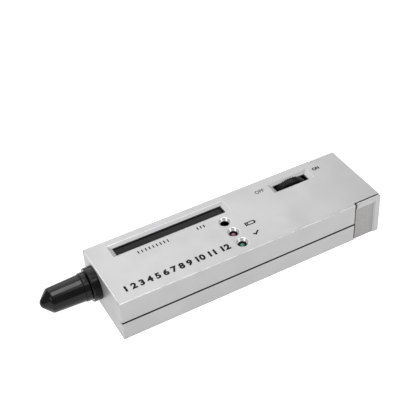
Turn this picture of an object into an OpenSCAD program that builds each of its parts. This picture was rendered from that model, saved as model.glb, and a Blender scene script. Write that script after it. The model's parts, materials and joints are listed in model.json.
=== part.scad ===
// Hand-held gem tester: two-part housing, sprung probe under a push-on cap,
// bar window, lamp wells, thumbwheel switch and a sliding battery door.
// Millimetres. +X runs from the probe to the battery end, +Z is up,
// and the origin is the centre of the housing's underside.

/* [Body] */
// Length of the housing, from the probe end to the battery end
body_length = 136; // [122:1:150]
// Width of the housing
body_width = 40; // [36:0.5:46]
// Height of the housing
body_height = 22; // [19.8:0.1:25]
// Thickness of the housing's walls
wall = 1.8; // [1.6:0.05:2]
// Rounding of the housing's outer edges
edge_round = 0.6; // [0.3:0.05:0.7]
// Height of the parting line above the base
seam_height = 10.2; // [9.2:0.1:11.4]
// Width of the groove that shows along the parting line
seam_groove = 0.8; // [0.4:0.05:1]

/* [Battery door] */
// Length of the door along the housing
door_length = 13.6; // [12:0.2:16]
// Gap that shows between the door and the housing
door_gap = 0.95; // [0.4:0.05:1.2]
// Thickness of the door's lip beside the top plate
door_lip = 0.8; // [0.7:0.05:1]
// Length of the door's tongue inside the housing
door_lap = 4; // [3:0.25:5]
// Depth of the finger grip in the door's sides
grip_depth = 0.8; // [0.4:0.05:1]
// Width of the plain rim between the grip and the end
grip_rim = 2.9; // [2.4:0.1:4]
// Height of the sloped upper edge of the grip
grip_slope = 1.8; // [1:0.1:2.4]
// Height of the plain strip above the grip
grip_top = 1.9; // [1.2:0.1:3]

/* [Bar window] */
// Width of the window's mouth
window_width = 7.8; // [7:0.1:8.6]
// Distance from the back face to the window's centre line
window_inset = 7.9; // [7.1:0.1:8.7]
// Slope width at the ends of the openings in the top
bevel_end = 2.4; // [1.5:0.1:2.7]
// Slope width at the sides of the openings in the top
bevel_side = 1.55; // [1.2:0.05:1.7]
// Depth of the slopes around the openings in the top
bevel_depth = 1.5; // [1:0.05:1.55]
// Chamfer round the openings' rims
rim_chamfer = 0.2; // [0.1:0.05:0.3]
// Thickness of the smoked strip under the window
lens_thickness = 1.2; // [0.8:0.1:1.5]

/* [Lamps] */
// Distance from the window's battery-side end back to the row of wells
well_from_window_end = 6.5; // [5:0.1:8]
// Distance from the window's front edge to the first well's centre
well_from_window = 5.7; // [5:0.1:6.4]
// Distance from the front face to the last well's centre
well_from_front = 6.4; // [5.6:0.1:7.2]
// Diameter of a well at the surface
well_mouth_d = 5.8; // [5:0.1:6.4]
// Diameter of a well's throat
well_throat_d = 3.7; // [3.5:0.1:4.1]
// Diameter of an indicator lamp
lamp_d = 3; // [2.7:0.1:3.3]
// Height of an indicator lamp
lamp_height = 5.2; // [4.6:0.1:5.8]
// Number of lamps of each colour in the bar
bar_group = 4; // [3:1:4]
// Distance from the window's throat end to the last lamp in the bar
bar_end_gap = 3.5; // [2:0.1:5]
// Height of a lamp in the bar
bar_lamp_height = 6; // [5:0.1:6.6]
// Diameter of the buzzer
buzzer_d = 9.6; // [8:0.1:10.6]

/* [Thumbwheel] */
// Width of the wheel
wheel_width = 3.2; // [2.8:0.05:3.6]
// Height of the wheel above the top
wheel_rise = 1; // [0.4:0.1:1.2]
// Gap between the wheel and the floor
wheel_floor_gap = 0.9; // [0.6:0.1:2]
// Number of teeth on the wheel's rim
wheel_teeth = 64; // [40:1:72]
// Depth of the teeth
tooth_depth = 0.45; // [0.2:0.05:0.6]
// Length of the slot's mouth in the top
slot_length = 22.2; // [20:0.2:24.4]
// Diameter of the shaft that the wheel turns
shaft_d = 3; // [2.6:0.1:3.4]
// Step from the wheel's rim in to the switch's rim
pot_inset = 3.6; // [3:0.1:4.2]
// Thickness of the switch
pot_thickness = 3; // [2.6:0.05:3.4]
// Gap between the switch board's holder and the door's tongue
switch_end_gap = 1.15; // [0.5:0.05:3]

/* [Probe] */
// Distance from the top to the probe's axis
probe_drop = 9.6; // [8.7:0.1:11]
// Diameter of the collar
collar_d = 16.2; // [14:0.1:17.2]
// Length of the collar
collar_length = 4; // [3:0.1:4.5]
// Diameter of the probe's neck through the end wall
neck_d = 10; // [9:0.1:11]
// Thickness of the nut inside the end wall
nut_length = 3; // [2:0.1:4]
// Length of the spigot that carries the cap
spigot_length = 5; // [4.5:0.1:7]
// Length of the tapering nose
nose_length = 6; // [5:0.1:6.6]
// Length of the ferrule in front of the nose
ferrule_reach = 1.5; // [1:0.1:2]
// Length of the copper tip in front of the ferrule when it is pressed in
tip_reach = 1; // [0.5:0.1:1.2]
// Travel of the tip when it is pressed
tip_travel = 1; // [0.5:0.1:1.2]
// Diameter of the copper tip
tip_d = 1.6; // [1.4:0.1:2]
// Mean diameter of the return spring
spring_d = 3.8; // [3.4:0.1:4.2]
// Diameter of the spring's wire
spring_wire = 0.5; // [0.3:0.05:0.6]
// Number of turns in the spring
spring_turns = 6; // [4:1:7]

/* [Cap] */
// Length of the cap
cap_length = 22.5; // [20.5:0.1:26]
// Step from the cap's barrel out to its rim
cap_rim_step = 0.4; // [0.2:0.05:0.8]
// Length of the rim
cap_rim_length = 2.6; // [2:0.1:4]
// Taper of the barrel's radius along its length
cap_taper = 0.8; // [0.4:0.05:1]
// Length of the end cone with its rounded tip
cap_cone_length = 4.6; // [4.2:0.1:6]
// Radius of the cap's rounded tip
cap_tip_r = 2.9; // [2:0.1:3]
// Thickness of the cap's wall
cap_wall = 1.3; // [1:0.05:1.4]

/* [Battery and board] */
// Length of the battery with its terminals
battery_length = 48.5; // [44:0.1:53]
// Gap between the battery and the top
battery_headroom = 0.6; // [0.4:0.05:1]
// Spacing of the battery's terminals
terminal_pitch = 12.7; // [11.4:0.1:14]
// Thickness of the circuit board
board_thickness = 1.6; // [1:0.1:1.8]
// Wall of a screw boss round the screw's head
boss_wall = 0.5; // [0.4:0.05:0.8]
// Diameter of the housing's screws
case_screw_d = 2.5; // [2.2:0.1:2.8]
// Diameter of the heads of the housing's screws
case_head_d = 4.2; // [3.8:0.1:4.6]
// Diameter of the board's screws
board_screw_d = 1.7; // [1.5:0.1:1.9]

/* [Fits] */
// Gap between pieces that slide past each other
slide_fit = 0.3; // [0.25:0.01:0.35]
// Radial gap of a shaft in its hole
running_fit = 0.08; // [0.05:0.01:0.1]
// Gap of a piece in its slot or recess
seat_fit = 0.1; // [0.05:0.01:0.15]

/* [Hidden] */
$fn = 64;
cut = 1;
far = 400;

probe_end = -body_length / 2;
tail_end = body_length / 2;
half_width = body_width / 2;
inner_half = half_width - wall;
inner_top = body_height - wall;
probe_inside = probe_end + wall;

// Parting line, tongue and groove
tongue_play = 0.15;
tongue = wall / 2 - tongue_play;
tongue_face = inner_half + tongue;
tongue_rise = 1.7;
groove_low = seam_height - seam_groove / 2;
groove_high = seam_height + seam_groove / 2;
tongue_top = groove_low + tongue_rise;
rib_play = 0.3;
rib_top = groove_low - rib_play;

// Battery door
door_start = tail_end - door_length;
shell_end = door_start - door_gap;
lap_skin = wall / 2 - seat_fit;
lap_start = shell_end - door_lap - slide_fit;
tongue_end = lap_start - slide_fit;
lip_inside = half_width - door_lip;
plate_half = lip_inside - door_gap;
door_top = inner_top - slide_fit;
stop_rib = 0.6;
stop_rib_width = 1.6;

// Battery bay: the battery fills the room beside the wheel and its switch
battery_lift = 0.3;
terminal_height = 2.1;
battery_round = 2.2;
battery_side_gap = 0.4;
bay_gap = 0.2;
bay_rib = 0.7;
bay_stop = 0.8;
floor_rib = 2;
back_gap = 0.6;
switch_board_thickness = 1.2;
wheel_room = wheel_width + pot_thickness + switch_board_thickness + 2 * slide_fit + back_gap;
battery_width = 2 * inner_half - battery_side_gap - bay_gap - bay_rib - wheel_room;
battery_thickness = inner_top - wall - battery_lift - battery_headroom;
battery_x1 = tail_end - wall - stop_rib - slide_fit;
battery_x0 = battery_x1 - battery_length;
battery_face = battery_x0 + terminal_height;
battery_y0 = -inner_half + battery_side_gap;
battery_y1 = battery_y0 + battery_width;
battery_y = (battery_y0 + battery_y1) / 2;
battery_z0 = wall + battery_lift;
battery_z = battery_z0 + battery_thickness / 2;
terminal_ys = [battery_y - terminal_pitch / 2, battery_y + terminal_pitch / 2];
male_r = 2.85;
female_r = 4.4;
female_bore_r = 3.3;
snap_thickness = 2.8;
snap_x1 = battery_x0 - slide_fit;
snap_x0 = snap_x1 - snap_thickness;
snap_inset = [0.95, 2.55];
snap_size = [battery_width, battery_thickness] - 2 * snap_inset;
snap_round = 2;
bay_rib_y = battery_y1 + bay_gap;
bay_stop_x1 = battery_face - slide_fit;

// Thumbwheel and its switch
wheel_d = body_height + wheel_rise - wall - wheel_floor_gap;
wheel_r = wheel_d / 2;
wheel_z = body_height + wheel_rise - wheel_r;
wheel_y0 = bay_rib_y + bay_rib + slide_fit;
wheel_y1 = wheel_y0 + wheel_width;
wheel_y = (wheel_y0 + wheel_y1) / 2;
wheel_recess = 1;
wheel_rim = 2.8;
wheel_recess_r = wheel_r - wheel_rim;
web_y0 = wheel_y0 + wheel_recess;
slot_side_gap = 0.45;
slot_width = wheel_width + 2 * (bevel_side + slot_side_gap);
shaft_r = shaft_d / 2;
pot_d = wheel_d - 2 * pot_inset;
pot_y0 = wheel_y1 + slide_fit;
pot_y1 = pot_y0 + pot_thickness;
board_overhang = 2.6;
switch_board_length = pot_d + 2 * board_overhang;
switch_board_rise = 5;
switch_board_top = wheel_z + switch_board_rise;
switch_board_y1 = pot_y1 + switch_board_thickness;
holder = 3;
holder_lip = 1;
wheel_x = tongue_end - switch_end_gap - switch_board_length / 2 - holder / 4;
terminal_block = [12.6, 2.6];
block_overlap = 1;
lug_width = 1.2;
lug_thickness = 0.4;
lug_pitch = 2.5;
lug_count = 5;
lug_gap = 0.4;
block_z1 = wheel_z - pot_d / 2 + block_overlap;
block_z0 = block_z1 - terminal_block[1];
lug_z0 = wall + lug_gap;
wheel_screw_head_d = 4.8;
wheel_screw_head = 0.8;
wheel_screw_d = 1.6;
wheel_screw_length = 2.6;
wheel_screw_gap = 0.3;

// Screw bosses and the main board between them
boss_d = case_head_d + 4 * seat_fit + 2 * boss_wall;
boss_r = boss_d / 2;
boss_gap = 0.2;
boss_y = inner_half - boss_r - boss_gap;
nut_gap = 0.4;
lead_room = 3.3;
front_boss_x = probe_inside + nut_length + nut_gap + boss_r;
rear_boss_x = snap_x0 - lead_room - boss_r;
boss_places = [for (x = [front_boss_x, rear_boss_x]) for (y = [-boss_y, boss_y]) [x, y]];
board_gap = 0.7;
board_lead_gap = 1.7;
board_side_gap = 0.8;
board_x0 = front_boss_x + boss_r + board_gap;
board_x1 = rear_boss_x - boss_r - board_lead_gap;
board_half = inner_half - board_side_gap;
bar_lamp_gap = 0.5;
board_top = inner_top - lens_thickness - bar_lamp_gap - bar_lamp_height;
board_low = board_top - board_thickness;

// Openings in the top
lens_margin = 1.5;
lens_gap = 0.4;
lens_frame = 0.8;
window_end_gap = 0.6;
window_x0 = front_boss_x + boss_r + lens_gap + lens_margin - bevel_end;
window_x1 = board_x1 - window_end_gap;
window_length = window_x1 - window_x0;
window_x = (window_x0 + window_x1) / 2;
window_y = half_width - window_inset;
throat_length = window_length - 2 * bevel_end;
throat_width = window_width - 2 * bevel_side;
lens_length = throat_length + 2 * lens_margin;
lens_width = throat_width + 2 * lens_margin;
well_x = window_x1 - well_from_window_end;
well_first = window_y - window_width / 2 - well_from_window;
well_last = well_from_front - half_width;
well_pitch = (well_first - well_last) / 2;
well_ys = [for (i = [0:2]) well_first - i * well_pitch];
lamp_ys = [well_ys[1], well_ys[2]];
sleeve_wall = 0.8;
sleeve_length = 2.8;
lamp_r = lamp_d / 2;
lamp_flange = 0.4;
lamp_flange_height = 1;
lamp_sink = 0.2;
lamp_top = body_height - bevel_depth - lamp_sink;
lamp_base = lamp_top - lamp_height;
leg = 0.5;
leg_pitch = 2.54;
bar_lamp = [2.4, 4.4];
bar_count = 3 * bar_group;
bar_pitch = (throat_length - 2 * bar_end_gap) / (bar_count - 1);
bar_start = window_x - throat_length / 2 + bar_end_gap;

// Fasteners
case_head = 1.8;
case_seat = 5;
case_screw_length = 11;
case_screw_gap = 0.6;
board_head_d = 3.8;
board_head = 1.3;
board_screw_length = 6;
board_screw_gap = 1;
post_wall = 1.35;
post_d = board_screw_d + 2 * post_wall;

// Parts on the board, in four rows between the bar lamps and the board's front edge
chip_width = 6.4;
chip_height = 3.3;
chip_stand = 0.5;
pin_pitch = 2.54;
pin_size = [0.5, 0.7];
driver_pins = 7;
amplifier_pins = 4;
capacitor_d = 4;
capacitor_height = 6.2;
resistor_d = 2;
resistor_length = 5;
trimmer = [6.8, 6.8, 4.8];
trimmer_dial_d = 4;
trimmer_dial_depth = 0.6;
chip_span = chip_width + 2 * pin_size[1];
rows_back = window_y - bar_lamp[1] / 2;
row_gap = (rows_back + board_half - 2 * chip_span - 2 * resistor_d) / 5;
driver_y = rows_back - row_gap - chip_span / 2;
back_row_y = driver_y - chip_span / 2 - row_gap - resistor_d / 2;
amplifier_y = back_row_y - resistor_d / 2 - row_gap - chip_span / 2;
front_row_y = amplifier_y - chip_span / 2 - row_gap - resistor_d / 2;
post_inset = 4.5;
post_from_wells = 8;
post_clear = 4.5;
lamp_clear = 3.5;
post_xs = [board_x0 + post_inset, well_x - post_from_wells];
post_places = [for (x = post_xs) for (y = [front_row_y, driver_y]) [x, y]];
parts_x0 = post_xs[0] + post_clear;
parts_x1 = well_x - lamp_clear;
driver_length = driver_pins * pin_pitch;
amplifier_length = amplifier_pins * pin_pitch;
part_gap = (parts_x1 - parts_x0 - amplifier_length - 2 * capacitor_d - trimmer[0]) / 3;
driver_place = [parts_x0 + driver_length / 2, driver_y];
amplifier_place = [parts_x0 + amplifier_length / 2, amplifier_y];
capacitor_x = parts_x0 + amplifier_length + part_gap + capacitor_d / 2;
capacitor_places = [for (i = [0, 1]) [capacitor_x + i * (capacitor_d + part_gap), amplifier_y]];
trimmer_place = [parts_x1 - trimmer[0] / 2, amplifier_y];
resistor_pitch = (post_xs[1] - post_clear - parts_x0 - resistor_length) / 2;
resistor_places = [for (y = [front_row_y, back_row_y]) for (i = [0:2])
    [parts_x0 + resistor_length / 2 + i * resistor_pitch, y]];
buzzer_height = lamp_base - board_top - slide_fit;
buzzer_hole_d = 2;

// Probe, measured outwards from the end wall along its own axis
neck_step = 0.5;
probe_boss_gap = 0.6;
probe_z = body_height - probe_drop;
neck_r = neck_d / 2;
nut_wall = 1.5;
nut_flats = neck_d + 2 * nut_wall;
inner_neck = wall + nut_length;
rear_r = neck_r - neck_step;
rear_length = 1.7;
probe_offset = boss_y - boss_r - probe_boss_gap - rear_r;
spigot_step = 0.2;
spigot_r = neck_r - spigot_step;
spigot_end = collar_length + spigot_length;
nose_step = 0.7;
nose_r = spigot_r - nose_step;
nose_end = spigot_end + nose_length;
ferrule_wall = 0.8;
ferrule_r = tip_d / 2 + ferrule_wall;
nose_wall = 0.7;
nose_front_r = ferrule_r + nose_wall;
ferrule_end = nose_end + ferrule_reach;
tip_end = ferrule_end + tip_reach + tip_travel;
chamber_floor = 0.5;
chamber_end = spigot_end + chamber_floor;
spring_side_gap = 0.45;
chamber_r = spring_d / 2 + spring_wire / 2 + spring_side_gap;
tip_shoulder = 1.5;
shoulder_front = chamber_end - slide_fit;
shoulder_back = shoulder_front - tip_shoulder;
plug_front = -1;
plug_flange = 1.2;
probe_rear = -inner_neck - rear_length;
bead_r = 0.4;
bead_length = 2;
spring_room = shoulder_back - plug_front;
spring_pitch = (spring_room - spring_wire - 2 * seat_fit) / spring_turns;
spring_rings = 8;
spring_sides = 6;
spring_path = [for (i = [0:spring_turns * spring_rings]) spring_point(i)];

// Cap, measured outwards from the end wall along the probe's axis
cap_nose_gap = 0.2;
cap_mouth = collar_length + slide_fit;
cap_end = cap_mouth + cap_length;
cap_shoulder = cap_end - cap_cone_length;
cap_groove = 0.3;
cap_bore_r = spigot_r + running_fit;
cap_inner_r = nose_r + cap_nose_gap;
cap_shoulder_r = cap_inner_r + cap_wall;
cap_barrel_r = cap_shoulder_r + cap_taper;
cap_rim_r = cap_barrel_r + cap_rim_step;
cap_tip_x = cap_end - cap_tip_r;
cap_side = norm([cap_tip_x - cap_shoulder, cap_shoulder_r]);
cap_slope = atan2(cap_shoulder_r, cap_tip_x - cap_shoulder) - asin(cap_tip_r / cap_side);
cap_touch_x = cap_tip_x + cap_tip_r * sin(cap_slope);
cap_touch_r = cap_tip_r * cos(cap_slope);
cavity_cone = 2.9;
cap_end_wall = 3.6;
cavity_end = cap_end - cap_end_wall;

// Leads: each route is a list of points from end to end
lead_d = 1.1;
thin_lead_d = 0.8;
lead_sides = 8;
lead_gap = 0.15;
lead_stand = 0.2;
snap_lead_ys = [battery_y + 4, battery_y - 4];
snap_lead_route = [[snap_x0 - lead_gap, 0, battery_z], [snap_x0 - 2.2, 0, battery_z + 0.4],
    [snap_x0 - 5, 0, board_top + 0.5], [board_x1 + 2.5, 0, board_top + 1.9], [board_x1, 0, board_top + 2.1],
    [board_x1 - 1.6, 0, board_top + 1.3], [board_x1 - 2, 0, board_top + lead_stand]];
plug_x = probe_end - probe_rear + plug_flange;
probe_lead_pitch = 2.4;
probe_lead_route = [[plug_x + lead_gap, 0, probe_z + 0.3], [plug_x + 1.3, 0, probe_z + 0.7],
    [plug_x + 2.9, 0, board_top + 1.5], [board_x0 + 0.7, 0, board_top + 1.5],
    [board_x0 + 1.5, 0, board_top + 0.9], [board_x0 + 1.7, 0, board_top + lead_stand]];
switch_lead_x = wheel_x - switch_board_length / 2 + 0.8;
switch_lead_z = wheel_z + 1.3;
switch_lead_y = boss_y - boss_r - 1.8;
switch_lead_route = [[switch_lead_x, pot_y1 - lead_gap, switch_lead_z],
    [switch_lead_x - 0.2, pot_y1 - 1.4, switch_lead_z], [switch_lead_x - 2, pot_y1 - 2.2, switch_lead_z],
    [switch_lead_x - 5.6, pot_y1 - 3.8, switch_lead_z], [switch_lead_x - 9.6, pot_y1 - 5, switch_lead_z],
    [snap_x0 + 0.3, switch_lead_y + 0.2, board_top + 1.9],
    [rear_boss_x + 0.4, switch_lead_y, board_top + 2.3],
    [board_x1 + 0.9, switch_lead_y, board_top + 2.1], [board_x1 - 1.3, switch_lead_y, board_top + 1.3],
    [board_x1 - 1.7, switch_lead_y, board_top + lead_stand]];

silver = [0.8, 0.8, 0.81];
black = [0.1, 0.1, 0.11];
steel = [0.65, 0.66, 0.68];
brass = [0.8, 0.66, 0.36];
copper = [0.75, 0.45, 0.3];
board_green = [0.1, 0.35, 0.2];
dark_plastic = [0.16, 0.16, 0.17];

// Shared shapes

// A box given by its lowest and highest corners
module span(low, high) {
    translate(low)
        cube(high - low);
}

// The same shape on the front and on the back
module both_sides() {
    children();
    mirror([0, 1, 0])
        children();
}

module rounded_rect(size, r) {
    square([size[0], size[1] - 2 * r], center = true);
    square([size[0] - 2 * r, size[1]], center = true);
    for (x = [-1, 1])
        for (y = [-1, 1])
            translate([x * (size[0] / 2 - r), y * (size[1] / 2 - r)])
                circle(r);
}

// A prism along X with a rounded section in Y and Z
module rounded_bar(x0, x1, size, r) {
    translate([x0, 0, 0])
        rotate([90, 0, 90])
            linear_extrude(x1 - x0)
                rounded_rect(size, r);
}

// The housing's outside, rounded along every edge
module housing_block() {
    translate([0, 0, body_height / 2])
        intersection() {
            linear_extrude(body_height, center = true)
                rounded_rect([body_length, body_width], edge_round);
            rotate([90, 0, 0])
                linear_extrude(body_width, center = true)
                    rounded_rect([body_length, body_height], edge_round);
            rounded_bar(-body_length / 2, body_length / 2, [body_width, body_height], edge_round);
        }
}

// A cylinder along Y
module rod_y(x, z, r, y0, y1) {
    translate([x, y0, z])
        rotate([-90, 0, 0])
            cylinder(h = y1 - y0, r = r);
}

// Moves a shape drawn along Z, outwards from the end wall, onto the probe's axis
module on_probe_axis() {
    translate([probe_end, probe_offset, probe_z])
        rotate([0, -90, 0])
            children();
}

// A ring or disc on the probe's axis
module probe_disc(from, to, r) {
    translate([0, 0, from])
        cylinder(h = to - from, r = r);
}

module probe_cone(from, to, r1, r2) {
    translate([0, 0, from])
        cylinder(h = to - from, r1 = r1, r2 = r2);
}

// A rectangular opening in the top with sloped sides, cut down through the top plate
module sloped_opening(x, y, length, width) {
    throat = [length - 2 * bevel_end, width - 2 * bevel_side];
    translate([x, y, body_height])
        union() {
            intersection() {
                rotate([90, 0, 0])
                    linear_extrude(width + 2 * cut, center = true)
                        slope_profile(length, bevel_end);
                rotate([90, 0, 90])
                    linear_extrude(length + 2 * cut, center = true)
                        slope_profile(width, bevel_side);
            }
            translate([-throat[0] / 2, -throat[1] / 2, -wall - cut])
                cube([throat[0], throat[1], wall + cut - bevel_depth / 2]);
        }
}

module slope_profile(mouth, slope) {
    side = mouth / 2;
    rim = side + rim_chamfer;
    polygon([[-rim, cut], [-rim, 0], [-side, -rim_chamfer], [slope - side, -bevel_depth],
        [side - slope, -bevel_depth], [side, -rim_chamfer], [rim, 0], [rim, cut]]);
}

// One tube swept along a list of points
module lead(route, d) {
    last = len(route) - 1;
    side = [0.48, 0.6, 0.64];
    tangents = [for (i = [0:last]) unit(route[min(i + 1, last)] - route[max(i - 1, 0)])];
    points = [for (i = [0:last])
        each ring(route[i], d / 2, unit(cross(tangents[i], side)), tangents[i], lead_sides)];
    tube(points, last + 1, lead_sides);
}

module tube(points, rings, sides) {
    walls = [for (i = [0:rings - 2]) for (k = [0:sides - 1]) each [
        [i * sides + k, (i + 1) * sides + k, i * sides + (k + 1) % sides],
        [(i + 1) * sides + k, (i + 1) * sides + (k + 1) % sides, i * sides + (k + 1) % sides]]];
    first = [for (k = [1:sides - 2]) [0, k, k + 1]];
    top = (rings - 1) * sides;
    final = [for (k = [1:sides - 2]) [top, top + k + 1, top + k]];
    polyhedron(points, concat(walls, first, final));
}

function unit(v) = v / norm(v);

function ring(centre, r, across, along, sides) =
    [for (k = [0:sides - 1])
        let (a = 360 * k / sides)
        centre + r * (cos(a) * across + sin(a) * cross(along, across))];

function spring_point(i) =
    let (a = 360 * i / spring_rings)
    [spring_d / 2 * cos(a), spring_d / 2 * sin(a),
        plug_front + seat_fit + spring_wire / 2 + spring_pitch * i / spring_rings];

// Housing

module boss_cores(d, z0, z1) {
    for (p = boss_places)
        translate([p[0], p[1], z0])
            cylinder(h = z1 - z0, d = d);
}

module probe_hole() {
    on_probe_axis()
        probe_disc(-wall - cut, cut, neck_r + seat_fit);
}

// Space that the door's tongue slides into
module lap_space() {
    span([lap_start, -half_width + lap_skin, lap_skin], [shell_end + cut, half_width - lap_skin, inner_top]);
}

module upper_walls() {
    difference() {
        housing_block();
        span([-far, -far, -far], [far, far, seam_height]);
        both_sides()
            span([-far, tongue_face, 0], [far, far, groove_high]);
        both_sides()
            span([probe_inside, inner_half - cut, 0], [far, tongue_face + seat_fit, tongue_top + seat_fit]);
        span([probe_inside, -inner_half, -cut], [far, inner_half, inner_top]);
        span([shell_end, -far, -cut], [far, far, inner_top]);
        both_sides()
            span([shell_end, plate_half, 0], [far, far, far]);
        lap_space();
    }
}

module lens_seat() {
    edge = lens_frame + seat_fit;
    translate([window_x, window_y, inner_top - lens_thickness])
        difference() {
            linear_extrude(lens_thickness + wall / 2)
                square([lens_length + 2 * edge, lens_width + 2 * edge], center = true);
            translate([0, 0, -cut])
                linear_extrude(lens_thickness + cut)
                    square([lens_length + 2 * seat_fit, lens_width + 2 * seat_fit], center = true);
        }
}

module well_sleeves() {
    for (y = lamp_ys)
        translate([well_x, y, inner_top - sleeve_length])
            cylinder(h = sleeve_length + wall / 4, d = well_throat_d + 2 * sleeve_wall);
}

module well_cuts() {
    rim = rim_chamfer + cut;
    for (y = well_ys)
        translate([well_x, y, 0]) {
            translate([0, 0, inner_top - sleeve_length - cut])
                cylinder(h = wall + sleeve_length + cut, d = well_throat_d);
            translate([0, 0, body_height - bevel_depth])
                cylinder(h = bevel_depth - rim_chamfer, d1 = well_throat_d, d2 = well_mouth_d);
            translate([0, 0, body_height - rim_chamfer])
                cylinder(h = rim, d1 = well_mouth_d, d2 = well_mouth_d + 2 * rim);
        }
}

module upper_shell() {
    color(silver)
        difference() {
            union() {
                upper_walls();
                boss_cores(boss_d, seam_height, inner_top + wall / 4);
                lens_seat();
                well_sleeves();
            }
            sloped_opening(window_x, window_y, window_length, window_width);
            sloped_opening(wheel_x, wheel_y, slot_length, slot_width);
            well_cuts();
            probe_hole();
            boss_cores(case_screw_d + 2 * seat_fit, seam_height - cut,
                case_seat + case_screw_length + case_screw_gap);
        }
}

module lower_walls() {
    difference() {
        intersection() {
            housing_block();
            span([-far, -far, -far], [shell_end, far, seam_height]);
        }
        both_sides()
            span([-far, inner_half - cut, groove_low], [far, far, far]);
        span([probe_inside, -inner_half, wall], [far, inner_half, far]);
        lap_space();
    }
}

module seam_tongues() {
    both_sides()
        span([probe_inside + slide_fit, inner_half, groove_low - wall],
            [tongue_end, tongue_face, tongue_top]);
}

module battery_bay() {
    span([bay_stop_x1 - bay_stop, bay_rib_y, wall / 2], [tongue_end, bay_rib_y + bay_rib, rib_top]);
    span([bay_stop_x1 - bay_stop, -inner_half - wall / 4, wall / 2],
        [bay_stop_x1, terminal_ys[0] - female_r - slide_fit, rib_top]);
    span([bay_stop_x1 - bay_stop, terminal_ys[1] + female_r + slide_fit, wall / 2],
        [bay_stop_x1, bay_rib_y + bay_rib / 2, rib_top]);
    for (y = [battery_y - battery_width / 3, battery_y + battery_width / 3])
        span([battery_face, y - floor_rib / 2, wall / 2],
            [tongue_end, y + floor_rib / 2, wall + battery_lift]);
}

// Two grooved blocks that hold the switch board upright against the back wall
module switch_board_holders() {
    for (side = [-1, 1])
        difference() {
            translate([wheel_x + side * (switch_board_length - holder) / 2 + side * holder / 4, 0, 0])
                span([-holder / 2, pot_y1 - holder_lip, wall / 2],
                    [holder / 2, inner_half + wall / 4, rib_top]);
            switch_board_slot();
        }
}

module switch_board_slot() {
    translate([wheel_x, 0, 0])
        span([-switch_board_length / 2 - seat_fit, pot_y1 - seat_fit / 2, wall],
            [switch_board_length / 2 + seat_fit, switch_board_y1 + seat_fit / 2, far]);
    translate([wheel_x, 0, 0])
        span([-pot_d / 2 - slide_fit, 0, wall], [pot_d / 2 + slide_fit, pot_y1, far]);
}

module posts(d, z0, z1) {
    for (p = post_places)
        translate([p[0], p[1], z0])
            cylinder(h = z1 - z0, d = d);
}

module lower_shell() {
    color(silver)
        difference() {
            union() {
                lower_walls();
                seam_tongues();
                battery_bay();
                switch_board_holders();
                boss_cores(boss_d, wall / 2, seam_height);
                posts(post_d, wall / 2, board_low);
            }
            probe_hole();
            boss_cores(case_head_d + 4 * seat_fit, -cut, case_seat);
            boss_cores(case_screw_d + 4 * seat_fit, -cut, seam_height + cut);
            posts(board_screw_d + 2 * seat_fit, board_top - board_screw_length - board_screw_gap,
                board_low + cut);
        }
}

module grip_cut() {
    floor_y = -half_width + grip_depth;
    grip_z = body_height - grip_top;
    grip_x = tail_end - grip_rim;
    end_slope = 0.75 * grip_depth;
    intersection() {
        translate([door_start - cut, 0, 0])
            rotate([90, 0, 90])
                linear_extrude(door_length)
                    polygon([[-half_width - cut, -cut], [floor_y, -cut], [floor_y, grip_z - grip_slope],
                        [-half_width, grip_z], [-half_width - cut, grip_z]]);
        linear_extrude(body_height)
            polygon([[door_start - cut, -half_width - cut], [grip_x, -half_width - cut],
                [grip_x, -half_width], [grip_x - end_slope, floor_y], [door_start - cut, floor_y]]);
    }
}

module door_tongue() {
    skin = lap_skin + 2 * seat_fit;
    difference() {
        span([door_start - door_gap - door_lap, -half_width + skin, skin],
            [door_start + cut, half_width - skin, door_top]);
        span([-far, -inner_half, wall], [far, inner_half, far]);
    }
}

module battery_door() {
    color(silver)
        difference() {
            union() {
                difference() {
                    intersection() {
                        housing_block();
                        span([door_start, -far, -far], [far, far, far]);
                    }
                    span([-far, -inner_half, wall], [tail_end - wall, inner_half, far]);
                    span([-far, -lip_inside, door_top], [far, lip_inside, far]);
                }
                door_tongue();
                for (y = [battery_y - battery_width / 4, battery_y + battery_width / 4])
                    span([tail_end - wall - stop_rib, y - stop_rib_width / 2, wall / 2],
                        [tail_end - wall / 2, y + stop_rib_width / 2, battery_z + battery_thickness / 4]);
            }
            both_sides()
                grip_cut();
        }
}

module case_screws() {
    color(steel)
        for (p = boss_places)
            translate([p[0], p[1], case_seat]) {
                translate([0, 0, -case_head])
                    cylinder(h = case_head, d = case_head_d);
                cylinder(h = case_screw_length, d = case_screw_d);
            }
}

module bar_window() {
    color([0.12, 0.1, 0.1])
        translate([window_x, window_y, inner_top - lens_thickness])
            linear_extrude(lens_thickness)
                square([lens_length, lens_width], center = true);
}

// Lamps and electronics

module bar_lamps(group) {
    for (i = [group * bar_group:(group + 1) * bar_group - 1])
        translate([bar_start + i * bar_pitch, window_y, board_top])
            linear_extrude(bar_lamp_height)
                square(bar_lamp, center = true);
}

module bar_leds_green() {
    color([0.35, 0.6, 0.35])
        bar_lamps(0);
}

module bar_leds_amber() {
    color([0.8, 0.6, 0.25])
        bar_lamps(1);
}

module bar_leds_red() {
    color([0.7, 0.25, 0.22])
        bar_lamps(2);
}

module indicator_lamp(y) {
    translate([well_x, y, lamp_base]) {
        cylinder(h = lamp_flange_height, r = lamp_r + lamp_flange);
        cylinder(h = lamp_height - lamp_r, r = lamp_r);
        translate([0, 0, lamp_height - lamp_r])
            sphere(lamp_r);
    }
}

module low_battery_led() {
    color([0.75, 0.15, 0.15])
        indicator_lamp(lamp_ys[0]);
}

module ready_led() {
    color([0.15, 0.6, 0.35])
        indicator_lamp(lamp_ys[1]);
}

module led_legs() {
    color(steel)
        for (y = lamp_ys)
            for (side = [-1, 1])
                translate([well_x + side * leg_pitch / 2, y, board_top])
                    linear_extrude(lamp_base - board_top)
                        square(leg, center = true);
}

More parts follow.
